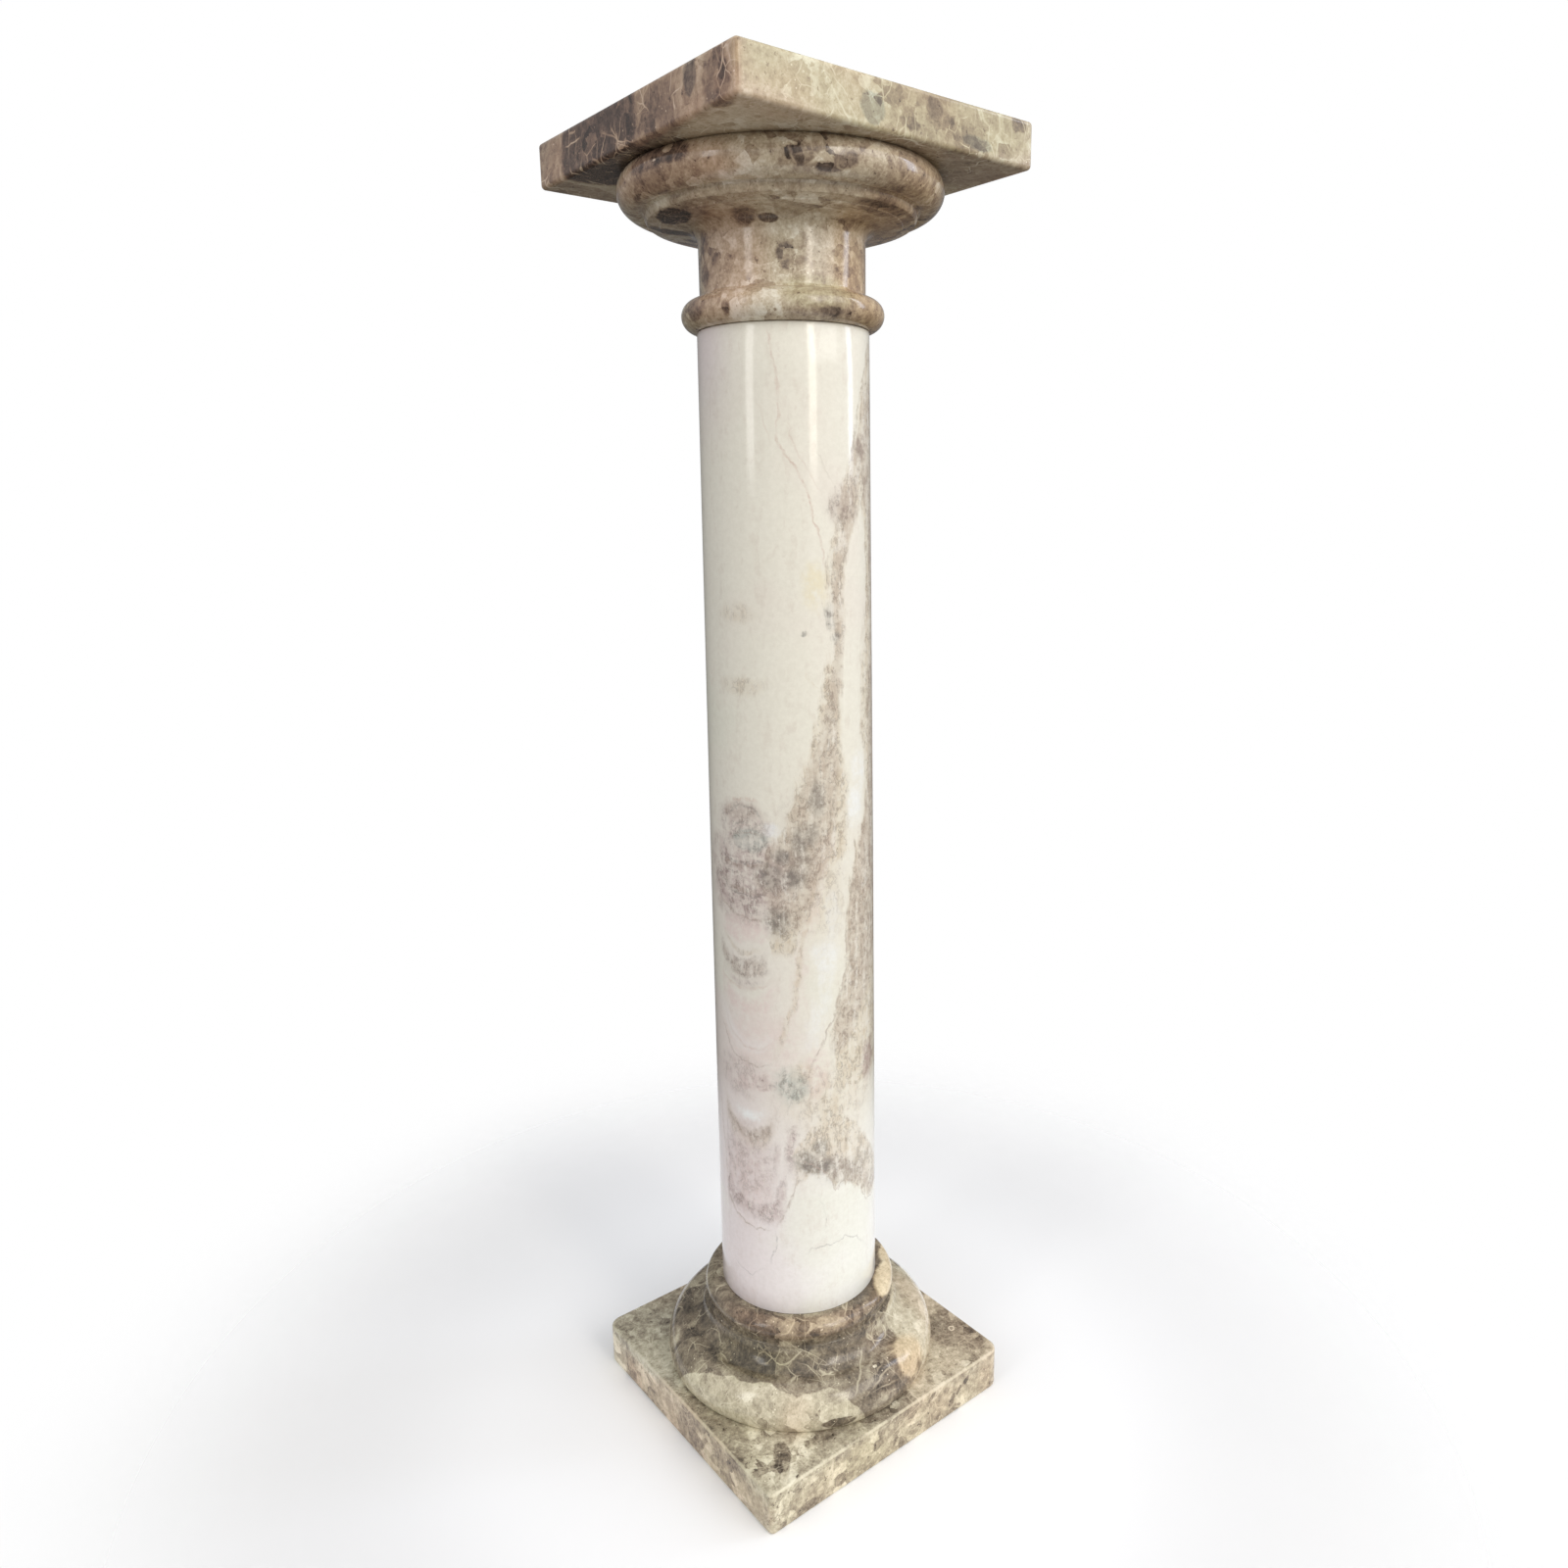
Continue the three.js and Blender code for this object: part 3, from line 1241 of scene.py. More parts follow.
BASE_PATCHES = (
    Patch(0.76, (88, -34), (36, 44), 1.0, 0.25),
    Patch(0.9, (76, 28), (18, 12), 1.0, 0.3),
    Patch(0.12, (-96, -31), (11, 6), 0.9),
    Patch(0.2, (-45, -15), (14, 17), 0.7),
    Patch(0.16, (-25, -10), (12, 14), 0.7),
    Patch(0.5, (-76, -53), (6, 12), 0.7),
    Patch(0.8, (54, -50), (6, 18), 0.85, 0.3),
    Patch(0.3, (40, -42), (8, 13), 0.95, 0.12),
    Patch(0.24, (56, -18), (6, 9), 0.8),
    Patch(0.62, (66, -9), (10, 5), 0.8),
    Patch(0.4, (-48, 30), (16, 14), 0.6),
    Patch(0.42, (-12, 28), (15, 9), 0.6),
    Patch(0.56, (18, 26), (15, 9), 0.7),
    Patch(0.2, (15, -73), (7, 4), 0.9, 0.2),
    Patch(0.42, (34, -70), (10, 10), 0.9),
    Patch(0.5, (15, -48), (5, 8), 0.8),
    Patch(0.2, (6, -15), (12, 14), 0.7),
    Patch(0.34, (24, -14), (8, 20), 0.6),
    Patch(0.95, (37, -34), (1.2, 1.6), 1.0, 0.2),
    Patch(0.4, (-75, -23), (8, 5), 0.5),
    Patch(0.28, (25, 14), (3, 5), 0.8),
)

BASE_VEINS = (
    Vein(Thread.PALE, 0.8, 0.9, ((-13, -12), (-8, -10), (-5, -6), (0, 2), (2, 5))),
    Vein(Thread.PALE, 0.6, 0.85, ((-3, -7), (4, -12), (8, -21), (10, -31))),
    Vein(Thread.PALE, 0.7, 0.85, ((38, -4), (35, -17), (30, -28), (25, -43), (22, -58))),
    Vein(Thread.PALE, 0.6, 0.8, ((-10, -30), (-7, -38), (-4, -41))),
    Vein(Thread.PALE, 0.8, 0.95, ((30, -55), (37, -56), (47, -60))),
    Vein(Thread.PALE, 0.7, 0.9, ((47, -60), (49, -52), (51, -42))),
    Vein(Thread.PALE, 0.7, 0.8, ((43, -34), (51, -33), (60, -35))),
    Vein(Thread.PALE, 0.5, 0.7, ((-13, 11), (-8, 0), (-5, -6))),
    Vein(Thread.PALE, 0.5, 0.7, ((-49, -19), (-42, -28), (-32, -34))),
    Vein(Thread.PALE, 0.5, 0.7, ((-28, 36), (-23, 26))),
    Vein(Thread.PALE, 0.5, 0.6, ((-36, 27), (-27, 18))),
    Vein(Thread.PALE, 0.6, 0.8, ((4, 20), (12, 25), (22, 26), (27, 36))),
    Vein(Thread.PALE, 0.5, 0.6, ((28, -4), (26, -13), (26, -25))),
    Vein(Thread.PALE, 0.5, 0.7, ((-1, -23), (8, -28), (16, -38))),
    Vein(Thread.DARK, 0.6, 0.7, ((-2, -44), (-2, -53))),
    Vein(Thread.PALE, 0.5, 0.7, ((26, -29), (32, -37))),
)

BASE_CASTS = (
    (Cast.PEACH, Patch(0, (56, -46), (10, 22), 0.7, 0.6)),
    (Cast.PEACH, Patch(0, (72, 28), (22, 14), 0.7, 0.6)),
    (Cast.PINK, Patch(0, (0, 26), (50, 12), 0.8, 0.6)),
    (Cast.GREEN, Patch(0, (-30, -12), (24, 24), 0.8, 0.6)),
)


@dataclass
class Base(Stone):
    """The turned base: torus, scotia, ridge and collar."""

    name: str = "base"
    bed: float = 36.3

    def build(self) -> bpy.types.Object:
        """Turns the base.

        Returns:
            The piece.
        """
        bed = self.bed
        profile = [
            *arc((113.2, bed + 8.2), 3.0, 8.2, -90, 0, 5),
            *arc((94.8, bed + 8.2), 21.4, 24.2, 8, 90, 20),
            *arc((94.8, bed + 51.0), 14.4, 18.6, 262, 180, 16),
            (81.6, bed + 51.2),
            (81.8, bed + 51.5),
            (81.8, bed + 52.9),
            (81.6, bed + 53.2),
            (80.2, bed + 53.8),
            *arc((73.1, bed + 62.6), 8.8, 8.8, -32, 90, 16),
        ]
        return turn("base_stone", profile)

    def dress(self, piece: bpy.types.Object) -> bpy.types.Object:
        """Gives the base its marble.

        Args:
            piece: the built mesh object.

        Returns:
            The same object.
        """
        finish = Breccia(
            "base_marble",
            BROWNS,
            middle=0.35,
            contrast=0.65,
            mottle=1.15,
            threads=0.6,
            specks=0.65,
            gloss=0.09,
            lean=-1.0,
            pale_below=BASE_BORDER,
            patches=BASE_PATCHES,
            veins=BASE_VEINS,
            casts=BASE_CASTS,
        )
        return self.seat(piece, finish.make())


SHAFT_VEINS = (
    Vein(Tone.ROSE, 1.1, 0.42, ((-10, 878), (-8, 866), (-7, 849), (-5, 834), (-3, 816), (-4, 800))),
    Vein(Tone.ROSE, 0.9, 0.3, ((2, 817), (5, 804), (9, 791), (16, 775), (23, 762))),
    Vein(Tone.ROSE, 1.1, 0.62, (
        (-4, 807), (-4, 800), (1, 792), (7, 777), (12, 765), (17, 752), (20, 739), (24, 722),
        (27, 710),
    )),
    Vein(Tone.OLIVE, 0.9, 0.25, ((19, 804), (24, 784), (34, 764))),
    Vein(Tone.ROSE, 1.2, 0.2, ((-21, 832), (-17, 825), (-10, 804), (-8, 796))),
    Vein(Tone.OLIVE, 1.0, 0.6, (
        (70, 870), (68, 859), (62, 841), (55, 824), (52, 809), (49, 794), (46, 780),
    )),
    Vein(Tone.TAN, 1.2, 0.8, ((83, 856), (75, 838), (67, 821), (62, 804))),
    Vein(Tone.TAN, 1.1, 0.8, ((10, 640), (14, 632), (21, 626))),
    Vein(Tone.UMBER, 0.9, 0.8, ((23, 513), (27, 507), (33, 514), (44, 521))),
    Vein(Tone.GREY, 1.0, 0.55, (
        (-51, 526), (-45, 533), (-37, 538), (-28, 538), (-22, 534), (-19, 528),
    )),
    Vein(Tone.ROSE, 1.2, 0.5, ((-53, 532), (-43, 540), (-32, 544), (-24, 542), (-18, 538))),
    Vein(Tone.GREY, 0.8, 0.6, ((-49, 517), (-40, 524), (-30, 527), (-20, 524))),
    Vein(Tone.GREY, 0.8, 0.5, ((-51, 508), (-40, 506), (-30, 504), (-19, 508), (-10, 514))),
    Vein(Tone.UMBER, 0.8, 0.7, ((-47, 514), (-36, 518), (-26, 517), (-20, 516))),
    Vein(Tone.GREY, 0.9, 0.7, ((-62, 503), (-50, 495), (-36, 493), (-22, 497), (-10, 491))),
    Vein(Tone.GREY, 0.8, 0.7, ((-60, 480), (-46, 471), (-30, 467), (-14, 473))),
    Vein(Tone.GREY, 0.8, 0.7, (
        (-24, 479), (-14, 471), (-6, 475), (-4, 487), (-12, 493), (-22, 489),
    )),
    Vein(Tone.UMBER, 1.1, 0.9, (
        (-64, 466), (-54, 456), (-42, 451), (-29, 449), (-18, 450), (-9, 457),
    )),
    Vein(Tone.ROSE, 1.7, 0.4, ((-61, 398), (-51, 392), (-36, 390), (-22, 394), (-12, 403))),
    Vein(Tone.UMBER, 0.8, 0.7, (
        (-66, 361), (-57, 347), (-48, 334), (-39, 328), (-26, 327), (-14, 332),
    )),
    Vein(Tone.ROSE, 1.2, 0.4, ((-60, 373), (-49, 350), (-36, 342), (-22, 343), (-13, 351))),
    Vein(Tone.UMBER, 1.2, 0.7, (
        (37, 452), (39, 428), (36, 403), (31, 383), (26, 365), (19, 349), (14, 337), (9, 319),
    )),
    Vein(Tone.UMBER, 1.0, 0.8, (
        (-70, 300), (-66, 262), (-62, 231), (-58, 199), (-48, 190), (-34, 184), (-23, 184),
        (-17, 186),
    )),
    Vein(Tone.UMBER, 1.0, 0.7, ((-17, 186), (-11, 198), (-2, 221), (3, 237))),
    Vein(Tone.GREY, 0.7, 0.45, ((-16, 186), (-15, 178), (-16, 166), (-22, 148))),
    Vein(Tone.GREY, 0.7, 0.4, ((-22, 148), (-35, 137), (-46, 139), (-55, 143))),
    Vein(Tone.GREY, 0.7, 0.4, ((1, 160), (10, 169), (24, 167), (36, 171), (46, 165), (64, 142))),
    Vein(Tone.GREY, 0.6, 0.35, ((14, 219), (20, 195), (19, 177))),
    Vein(Tone.UMBER, 0.9, 0.7, (
        (-1, 250), (8, 246), (17, 238), (24, 228), (28, 217), (32, 225), (41, 223), (49, 214),
        (59, 194), (68, 190), (79, 197),
    )),
)

SHAFT_CRESCENTS = (
    Vein(Tone.UMBER, 1.6, 0.9, ((-62, 500), (-50, 492), (-36, 490), (-22, 494), (-10, 488))),
    Vein(Tone.UMBER, 1.8, 0.9, ((-60, 484), (-46, 474), (-30, 470), (-14, 476))),
    Vein(Tone.UMBER, 1.8, 0.8, ((-2, 520), (4, 500), (8, 480), (2, 462), (-8, 448))),
    Vein(Tone.MAUVE, 7.0, 1.0, (
        (-60, 241), (-58, 221), (-53, 207), (-41, 201), (-29, 198), (-18, 201), (-11, 213),
        (-7, 228),
    )),
    Vein(Tone.MAUVE, 3.4, 0.85, ((-5, 231), (-5, 252), (-4, 269), (-3, 283))),
    Vein(Tone.MAUVE, 2.6, 0.75, ((-17, 225), (-14, 251), (-13, 265))),
    Vein(Tone.UMBER, 4.2, 0.9, (
        (-60, 284), (-53, 273), (-41, 266), (-31, 265), (-20, 271), (-13, 284),
    )),
    Vein(Tone.TAN, 7.0, 0.7, ((-62, 288), (-52, 270), (-38, 262), (-24, 264), (-12, 280))),
    Vein(Tone.MAUVE, 2.2, 0.6, ((-56, 250), (-44, 240), (-30, 238), (-18, 246))),
    Vein(Tone.MAUVE, 2.0, 0.5, ((-54, 226), (-42, 219), (-28, 219), (-18, 226))),
    Vein(Tone.WHITE, 4.0, 0.9, ((-49, 287), (-37, 283), (-27, 283), (-18, 290))),
    Vein(Tone.UMBER, 4.0, 0.9, (
        (-62, 426), (-54, 414), (-44, 406), (-34, 403), (-24, 409), (-17, 422),
    )),
    Vein(Tone.UMBER, 3.0, 0.85, ((-52, 418), (-42, 412), (-32, 411), (-23, 419))),
    Vein(Tone.MAUVE, 3.4, 0.6, ((-58, 404), (-46, 396), (-32, 394), (-19, 402))),
    Vein(Tone.BLUSH, 6.0, 0.9, ((-64, 398), (-50, 380), (-35, 373), (-20, 380), (-9, 396))),
    Vein(Tone.WHITE, 5.0, 0.8, ((-64, 374), (-50, 352), (-36, 343), (-22, 345), (-12, 356))),
    Vein(Tone.TAN, 2.0, 0.6, ((-58, 436), (-46, 424), (-32, 420), (-20, 426))),
    Vein(Tone.TAN, 2.2, 0.7, ((17, 486), (11, 452), (5, 420), (0, 388), (-7, 360), (-14, 332))),
    Vein(Tone.BLUSH, 5.0, 0.8, ((-50, 311), (-36, 311), (-25, 315), (-18, 321))),
    Vein(Tone.MAUVE, 3.0, 0.7, ((-66, 480), (-62, 462), (-50, 455), (-30, 455), (-14, 462))),
)

SHAFT_PATCHES = (
    Patch(Tone.YELLOW, (18, 701), (9, 16), 0.8, 0.9),
    Patch(Tone.TAN, (-36, 681), (13, 6), 0.42, 1.2),
    Patch(Tone.TAN, (-34, 629), (15, 6), 0.55, 1.2),
    Patch(Tone.WHITE, (47, 535), (8, 15), 0.8, 1.1),
    Patch(Tone.WHITE, (53, 560), (7, 14), 0.7, 1.1),
    Patch(Tone.WHITE, (-14, 520), (5.4, 5.3), 0.9, 1.0),
    Patch(Tone.WHITE, (23, 419), (9, 15), 0.75, 1.0),
    Patch(Tone.WHITE, (28, 455), (5, 18), 0.7),
    Patch(Tone.BLUSH, (-36, 441), (22, 11), 0.8),
    Patch(Tone.BLUSH, (-25, 314), (13, 7.7), 0.6),
    Patch(Tone.BLUSH, (14, 320), (9, 20), 0.8, 1.0),
    Patch(Tone.BLUSH, (-25, 350), (30, 22), 0.6, 1.2),
    Patch(Tone.BLUSH, (-40, 225), (20, 30), 0.7, 1.0),
    Patch(Tone.TAN, (26, 290), (9, 19), 0.78, 0.9),
    Patch(Tone.TAN, (22, 479), (15, 43), 0.5, 1.2),
    Patch(Tone.TAN, (5, 322), (9, 10), 0.7, 0.9),
    Patch(Tone.TAN, (54, 330), (8, 20), 0.8, 0.9),
    Patch(Tone.TAN, (30, 300), (40, 26), 0.5, 1.2),
    Patch(Tone.MAUVE, (-36, 482), (36, 34), 1.0, 0.7),
    Patch(Tone.MAUVE, (-36, 522), (19.5, 18.4), 0.85, 0.9),
    Patch(Tone.MAUVE, (-38, 238), (20.7, 32.2), 0.6, 1.0),
    Patch(Tone.MAUVE, (-24, 313), (6.9, 5.8), 0.95, 0.9),
    Patch(Tone.MAUVE, (62, 318), (6.9, 16.1), 0.9, 0.9),
    Patch(Tone.GREEN, (-30, 512), (14, 9), 0.9),
    Patch(Tone.GREEN, (-3, 312), (12, 14), 0.9, 0.9),
    Patch(Tone.MAUVE, (-44, 316), (22, 16), 0.5, 0.9),
    Patch(Tone.UMBER, (34, 755), (6.9, 10.3), 0.85, 1.0),
    Patch(Tone.UMBER, (42, 755), (9.2, 13.8), 0.9, 1.0),
    Patch(Tone.UMBER, (58, 798), (6.9, 11.5), 0.95, 0.9),
    Patch(Tone.UMBER, (-36, 533), (16.1, 6.9), 0.9, 0.9),
    Patch(Tone.UMBER, (-36, 408), (16, 7), 0.8, 0.9),
    Patch(Tone.UMBER, (66, 318), (6.9, 16.1), 0.85, 0.9),
    Patch(Tone.UMBER, (4, 506), (13, 38), 0.5, 1.0),
    Patch(Tone.GREY, (27, 679), (3.0, 8.1), 0.95, 1.1),
    Patch(Tone.GREY, (32, 664), (3.0, 4.2), 0.95, 1.1),
    Patch(Tone.GREY, (9, 667), (1.6, 2.0), 0.95, 1.1),
    Patch(Tone.GREY, (16, 543), (5.0, 13.0), 0.85, 1.1),
    Patch(Tone.GREY, (5, 511), (5.4, 13.0), 0.85, 1.1),
    Patch(Tone.GREY, (13, 517), (4.6, 10.0), 0.8, 1.1),
    Patch(Tone.GREY, (0, 483), (9.5, 8.3), 0.95, 1.1),
    Patch(Tone.GREY, (-15, 484), (9.7, 9.4), 0.95, 1.1),
    Patch(Tone.GREY, (-7, 500), (5.4, 6.2), 0.95, 1.1),
    Patch(Tone.GREY, (-11, 448), (8.4, 10.7), 0.95, 1.1),
    Patch(Tone.GREY, (6, 492), (6.0, 14.0), 0.55, 1.1),
    Patch(Tone.GREY, (7, 246), (8.1, 9.1), 0.95, 1.1),
    Patch(Tone.GREY, (19, 241), (10.8, 6.5), 0.95, 1.1),
    Patch(Tone.GREY, (17, 257), (5.4, 6.5), 0.9, 1.1),
    Patch(Tone.GREY, (40, 232), (22, 10), 0.4, 1.1),
    Patch(Tone.GREY, (84, 205), (6.8, 9.1), 0.95, 1.1),
)

SHAFT_BANDS = (
    Band(Tone.TAN, 0.86, (
        (872, 70, 84), (840, 60, 76), (805, 51, 66), (785, 44, 62), (765, 36, 60), (745, 32, 52),
        (724, 29, 45), (704, 25, 42), (684, 25, 40), (663, 28, 39), (643, 24, 39), (623, 20, 38),
        (602, 15, 39), (582, 10, 40), (562, 3, 41), (542, 0, 41), (521, -7, 43), (501, -19, 42),
        (481, -29, 24), (460, -19, 16), (440, -18, 8), (420, -15, 1),
    )),
    Band(Tone.UMBER, 0.6, (
        (805, 53, 60), (785, 45, 59), (765, 38, 56), (745, 34, 50), (724, 31, 44), (704, 27, 41),
        (684, 26, 38), (663, 28, 39), (643, 27, 39), (623, 24, 38), (602, 20, 36), (582, 14, 36),
        (562, 5, 36), (542, 1, 34), (521, -7, 30), (501, -19, 30), (481, -26, 22), (460, -19, 14),
        (440, -18, 6),
    )),
    Band(Tone.TAN, 0.84, (
        (870, 70, 106), (857, 66, 106), (827, 59, 106), (798, 54, 106), (768, 55, 106),
        (739, 60, 106), (709, 63, 106), (679, 62, 106), (650, 56, 106), (620, 53, 106),
        (591, 55, 106), (561, 61, 106), (531, 59, 106), (502, 47, 106), (472, 40, 106),
        (443, 38, 106), (413, 37, 106), (383, 30, 106), (354, 23, 106), (330, 25, 106),
        (300, 30, 106),
    )),
    Band(Tone.UMBER, 0.66, (
        (840, 62, 104), (798, 56, 104), (768, 58, 104), (739, 70, 104), (679, 72, 104),
        (620, 66, 104), (561, 66, 104), (531, 60, 104), (502, 49, 104), (472, 41, 100),
        (443, 38, 90), (413, 37, 80), (383, 30, 66), (354, 24, 48), (335, 20, 36),
    )),
    Band(Tone.UMBER, 0.7, (
        (-3, 222, 240), (3, 233, 249), (9, 236, 252), (15, 236, 256), (21, 232, 254),
        (28, 221, 256), (34, 223, 250), (40, 218, 246), (46, 214, 240), (52, 206, 232),
        (58, 198, 226), (64, 193, 220), (71, 193, 216), (79, 194, 212),
    ), Way.ROUND, 24.0, 12.0),
    Band(Tone.BLUSH, 0.9, (
        (520, 16, 36), (500, 12, 31), (482, 9, 28), (450, 2, 21), (419, -3, 15), (390, -7, 10),
        (363, -13, 3), (340, -18, -3), (320, -22, -6),
    ), Way.UP, 20.0, 16.0),
    Band(Tone.WHITE, 0.6, (
        (500, 32, 44), (482, 29, 40), (450, 22, 38), (419, 16, 34), (390, 11, 30), (363, 5, 24),
        (340, 0, 16),
    ), Way.UP, 16.0, 12.0),
    Band(Tone.TAN, 0.8, (
        (-3, 220, 258), (9, 234, 276), (21, 230, 292), (28, 219, 296), (34, 222, 284),
        (46, 212, 272), (58, 196, 256), (71, 192, 236), (79, 194, 224),
    ), Way.ROUND, 26.0),
)


@dataclass
class Shaft(Stone):
    """The plain round shaft, a little narrower at the head."""

    name: str = "shaft"
    bed: float = 108.0
    height: float = 771.4
    foot_radius: float = 66.9
    middle_radius: float = 65.3
    head_radius: float = 62.9
    chamfer: float = 0.8
    stretches: int = 24

    def radius_at(self, share: float) -> float:
        """The radius at a share of the height, on two straight stretches as in the CAD.

        Args:
            share: 0 at the foot and 1 at the head.

        Returns:
            The radius, in mm.
        """
        if share < 0.5:
            return self.foot_radius + (self.middle_radius - self.foot_radius) * share * 2
        return self.middle_radius + (self.head_radius - self.middle_radius) * (share * 2 - 1)

    def build(self) -> bpy.types.Object:
        """Turns the shaft.

        Returns:
            The piece.
        """
        cut = self.chamfer
        profile = [(self.foot_radius - cut, self.bed)]
        profile.append((self.foot_radius - cut * 0.3, self.bed + cut * 0.3))
        profile.append((self.foot_radius, self.bed + cut))
        for step in range(1, self.stretches):
            share = step / self.stretches
            profile.append((self.radius_at(share), self.bed + self.height * share))
        profile.append((self.head_radius, self.bed + self.height - cut))
        profile.append((self.head_radius - cut * 0.3, self.bed + self.height - cut * 0.3))
        profile.append((self.head_radius - cut, self.bed + self.height))
        return turn("shaft_stone", profile)

    def dress(self, piece: bpy.types.Object) -> bpy.types.Object:
        """Gives the shaft its marble.

        Args:
            piece: the built mesh object.

        Returns:
            The same object.
        """
        finish = ShaftMarble(
            veins=SHAFT_VEINS, crescents=SHAFT_CRESCENTS, patches=SHAFT_PATCHES, bands=SHAFT_BANDS
        )
        return self.seat(piece, finish.make())


CAPITAL_PATCHES = (
    Patch(0.46, (66, 970), (26, 70), 0.45, 0.9),
    Patch(0.66, (0, 1013), (80, 5), 0.4),
    Patch(0.25, (-36, 1043), (7, 5), 0.9),
    Patch(0.27, (-49, 1043), (9, 6), 0.85),
    Patch(0.8, (-39, 1046), (2, 2), 1.0, 0.2),
    Patch(0.95, (-44, 1042), (0.8, 0.8), 1.0),
    Patch(0.2, (3, 1039), (1.6, 5), 0.9, 0.3),
    Patch(0.28, (7, 1037), (3.6, 8), 0.8, 0.4),
    Patch(0.28, (21, 1036), (4, 6), 0.8),
    Patch(0.26, (15, 1030), (5, 4), 0.8),
    Patch(0.1, (-61, 1000), (13, 8), 0.95, 0.25),
    Patch(0.12, (-92, 996), (8, 14), 0.9),
    Patch(0.24, (-22, 986), (8, 9), 0.8),
    Patch(0.16, (-8, 981), (6, 4), 0.9, 0.3),
    Patch(0.26, (2, 958), (6, 8), 0.8),
    Patch(0.3, (-64, 972), (7, 9), 0.7),
    Patch(0.28, (-64, 951), (6, 8), 0.7),
    Patch(0.25, (-32, 932), (2.4, 6), 0.85),
    Patch(0.3, (-60, 932), (10, 6), 0.7),
    Patch(0.33, (28, 928), (7, 4), 0.8),
    Patch(0.36, (50, 1004), (16, 7), 0.7),
    Patch(0.58, (-44, 959), (12, 22), 0.5),
    Patch(0.64, (26, 956), (10, 20), 0.4),
    # painted highlight on the front of the astragal
    Patch(0.66, (16, 937), (18, 5), 0.5),
    Patch(0.3, (-62, 1022), (6, 4), 0.7),
    Patch(0.33, (48, 1022), (5, 4), 0.7),
    Patch(0.6, (-20, 1035), (9, 7), 0.5),
)

CAPITAL_VEINS = (
    Vein(Thread.PALE, 0.7, 0.9, ((2, 1046), (4, 1036), (6, 1026))),
    Vein(Thread.PALE, 0.7, 0.8, ((6, 1026), (10, 1033), (13, 1039), (16, 1043))),
    Vein(Thread.PALE, 0.7, 0.8, ((18, 1038), (19, 1031), (23, 1027))),
    Vein(Thread.PALE, 0.7, 0.8, ((-63, 1006), (-58, 998), (-50, 994))),
    Vein(Thread.PALE, 0.6, 0.7, ((-84, 990), (-74, 996), (-64, 994))),
    # painted highlight: a pale line round the right of the cove, at one height
    Vein(Thread.PALE, 0.5, 0.7, ((30, 995), (53, 995), (82, 997))),
    Vein(Thread.PALE, 0.5, 0.7, ((48, 1040), (46, 1032), (44, 1024))),
    Vein(Thread.PALE, 0.5, 0.7, ((60, 1044), (57, 1031), (54, 1019))),
    Vein(Thread.PALE, 0.5, 0.6, ((39, 1048), (34, 1040), (33, 1031))),
    Vein(Thread.PALE, 0.5, 0.6, ((-15, 1038), (-11, 1031), (-8, 1028))),
    Vein(Thread.DARK, 0.7, 0.7, ((-60, 978), (-66, 971), (-65, 962), (-60, 954))),
    Vein(Thread.PALE, 0.4, 0.6, ((37, 941), (41, 937), (49, 929))),
)

CAPITAL_CASTS = (
    (Cast.PEACH, Patch(0, (64, 975), (30, 70), 0.9, 0.8)),
    (Cast.PINK, Patch(0, (-40, 960), (30, 40), 0.9, 0.7)),
    (Cast.PINK, Patch(0, (-45, 1035), (32, 16), 0.9, 0.6)),
    # green of the painted highlight on the astragal
    (Cast.GREEN, Patch(0, (22, 938), (22, 8), 0.8, 0.6)),
)


@dataclass
class Capital(Stone):
    """The turned capital: astragal, neck, coved soffit, fillet and torus."""

    name: str = "capital"
    bed: float = 879.7

    def build(self) -> bpy.types.Object:
        """Turns the capital.

        Returns:
            The piece.
        """
        bed = self.bed
        profile = [
            *arc((62.6, bed + 10.7), 11.2, 10.7, -90, 76, 22),
            (61.4, bed + 22.4),
            (60.6, bed + 23.6),
            (60.2, bed + 25.0),
            *arc((69.7, bed + 58.5), 9.5, 9.5, 180, 98, 12),
            (86.5, bed + 69.8),
            (87.1, bed + 70.6),
            (95.4, bed + 72.4),
            (97.0, bed + 74.2),
            (97.6, bed + 77.0),
            (99.3, bed + 78.4),
            *arc((102.7, bed + 91.4), 13.6, 13.6, -98, 48, 22),
            (110.9, bed + 102.3),
        ]
        return turn("capital_stone", profile)

    def dress(self, piece: bpy.types.Object) -> bpy.types.Object:
        """Gives the capital its marble.

        Args:
            piece: the built mesh object.

        Returns:
            The same object.
        """
        finish = Breccia(
            "capital_marble",
            TAUPES,
            middle=0.61,
            contrast=0.85,
            mottle=1.35,
            threads=0.3,
            specks=0.35,
            gloss=0.08,
            radius=90.0,
            lean=0.6,
            patches=CAPITAL_PATCHES,
            veins=CAPITAL_VEINS,
            casts=CAPITAL_CASTS,
        )
        return self.seat(piece, finish.make())


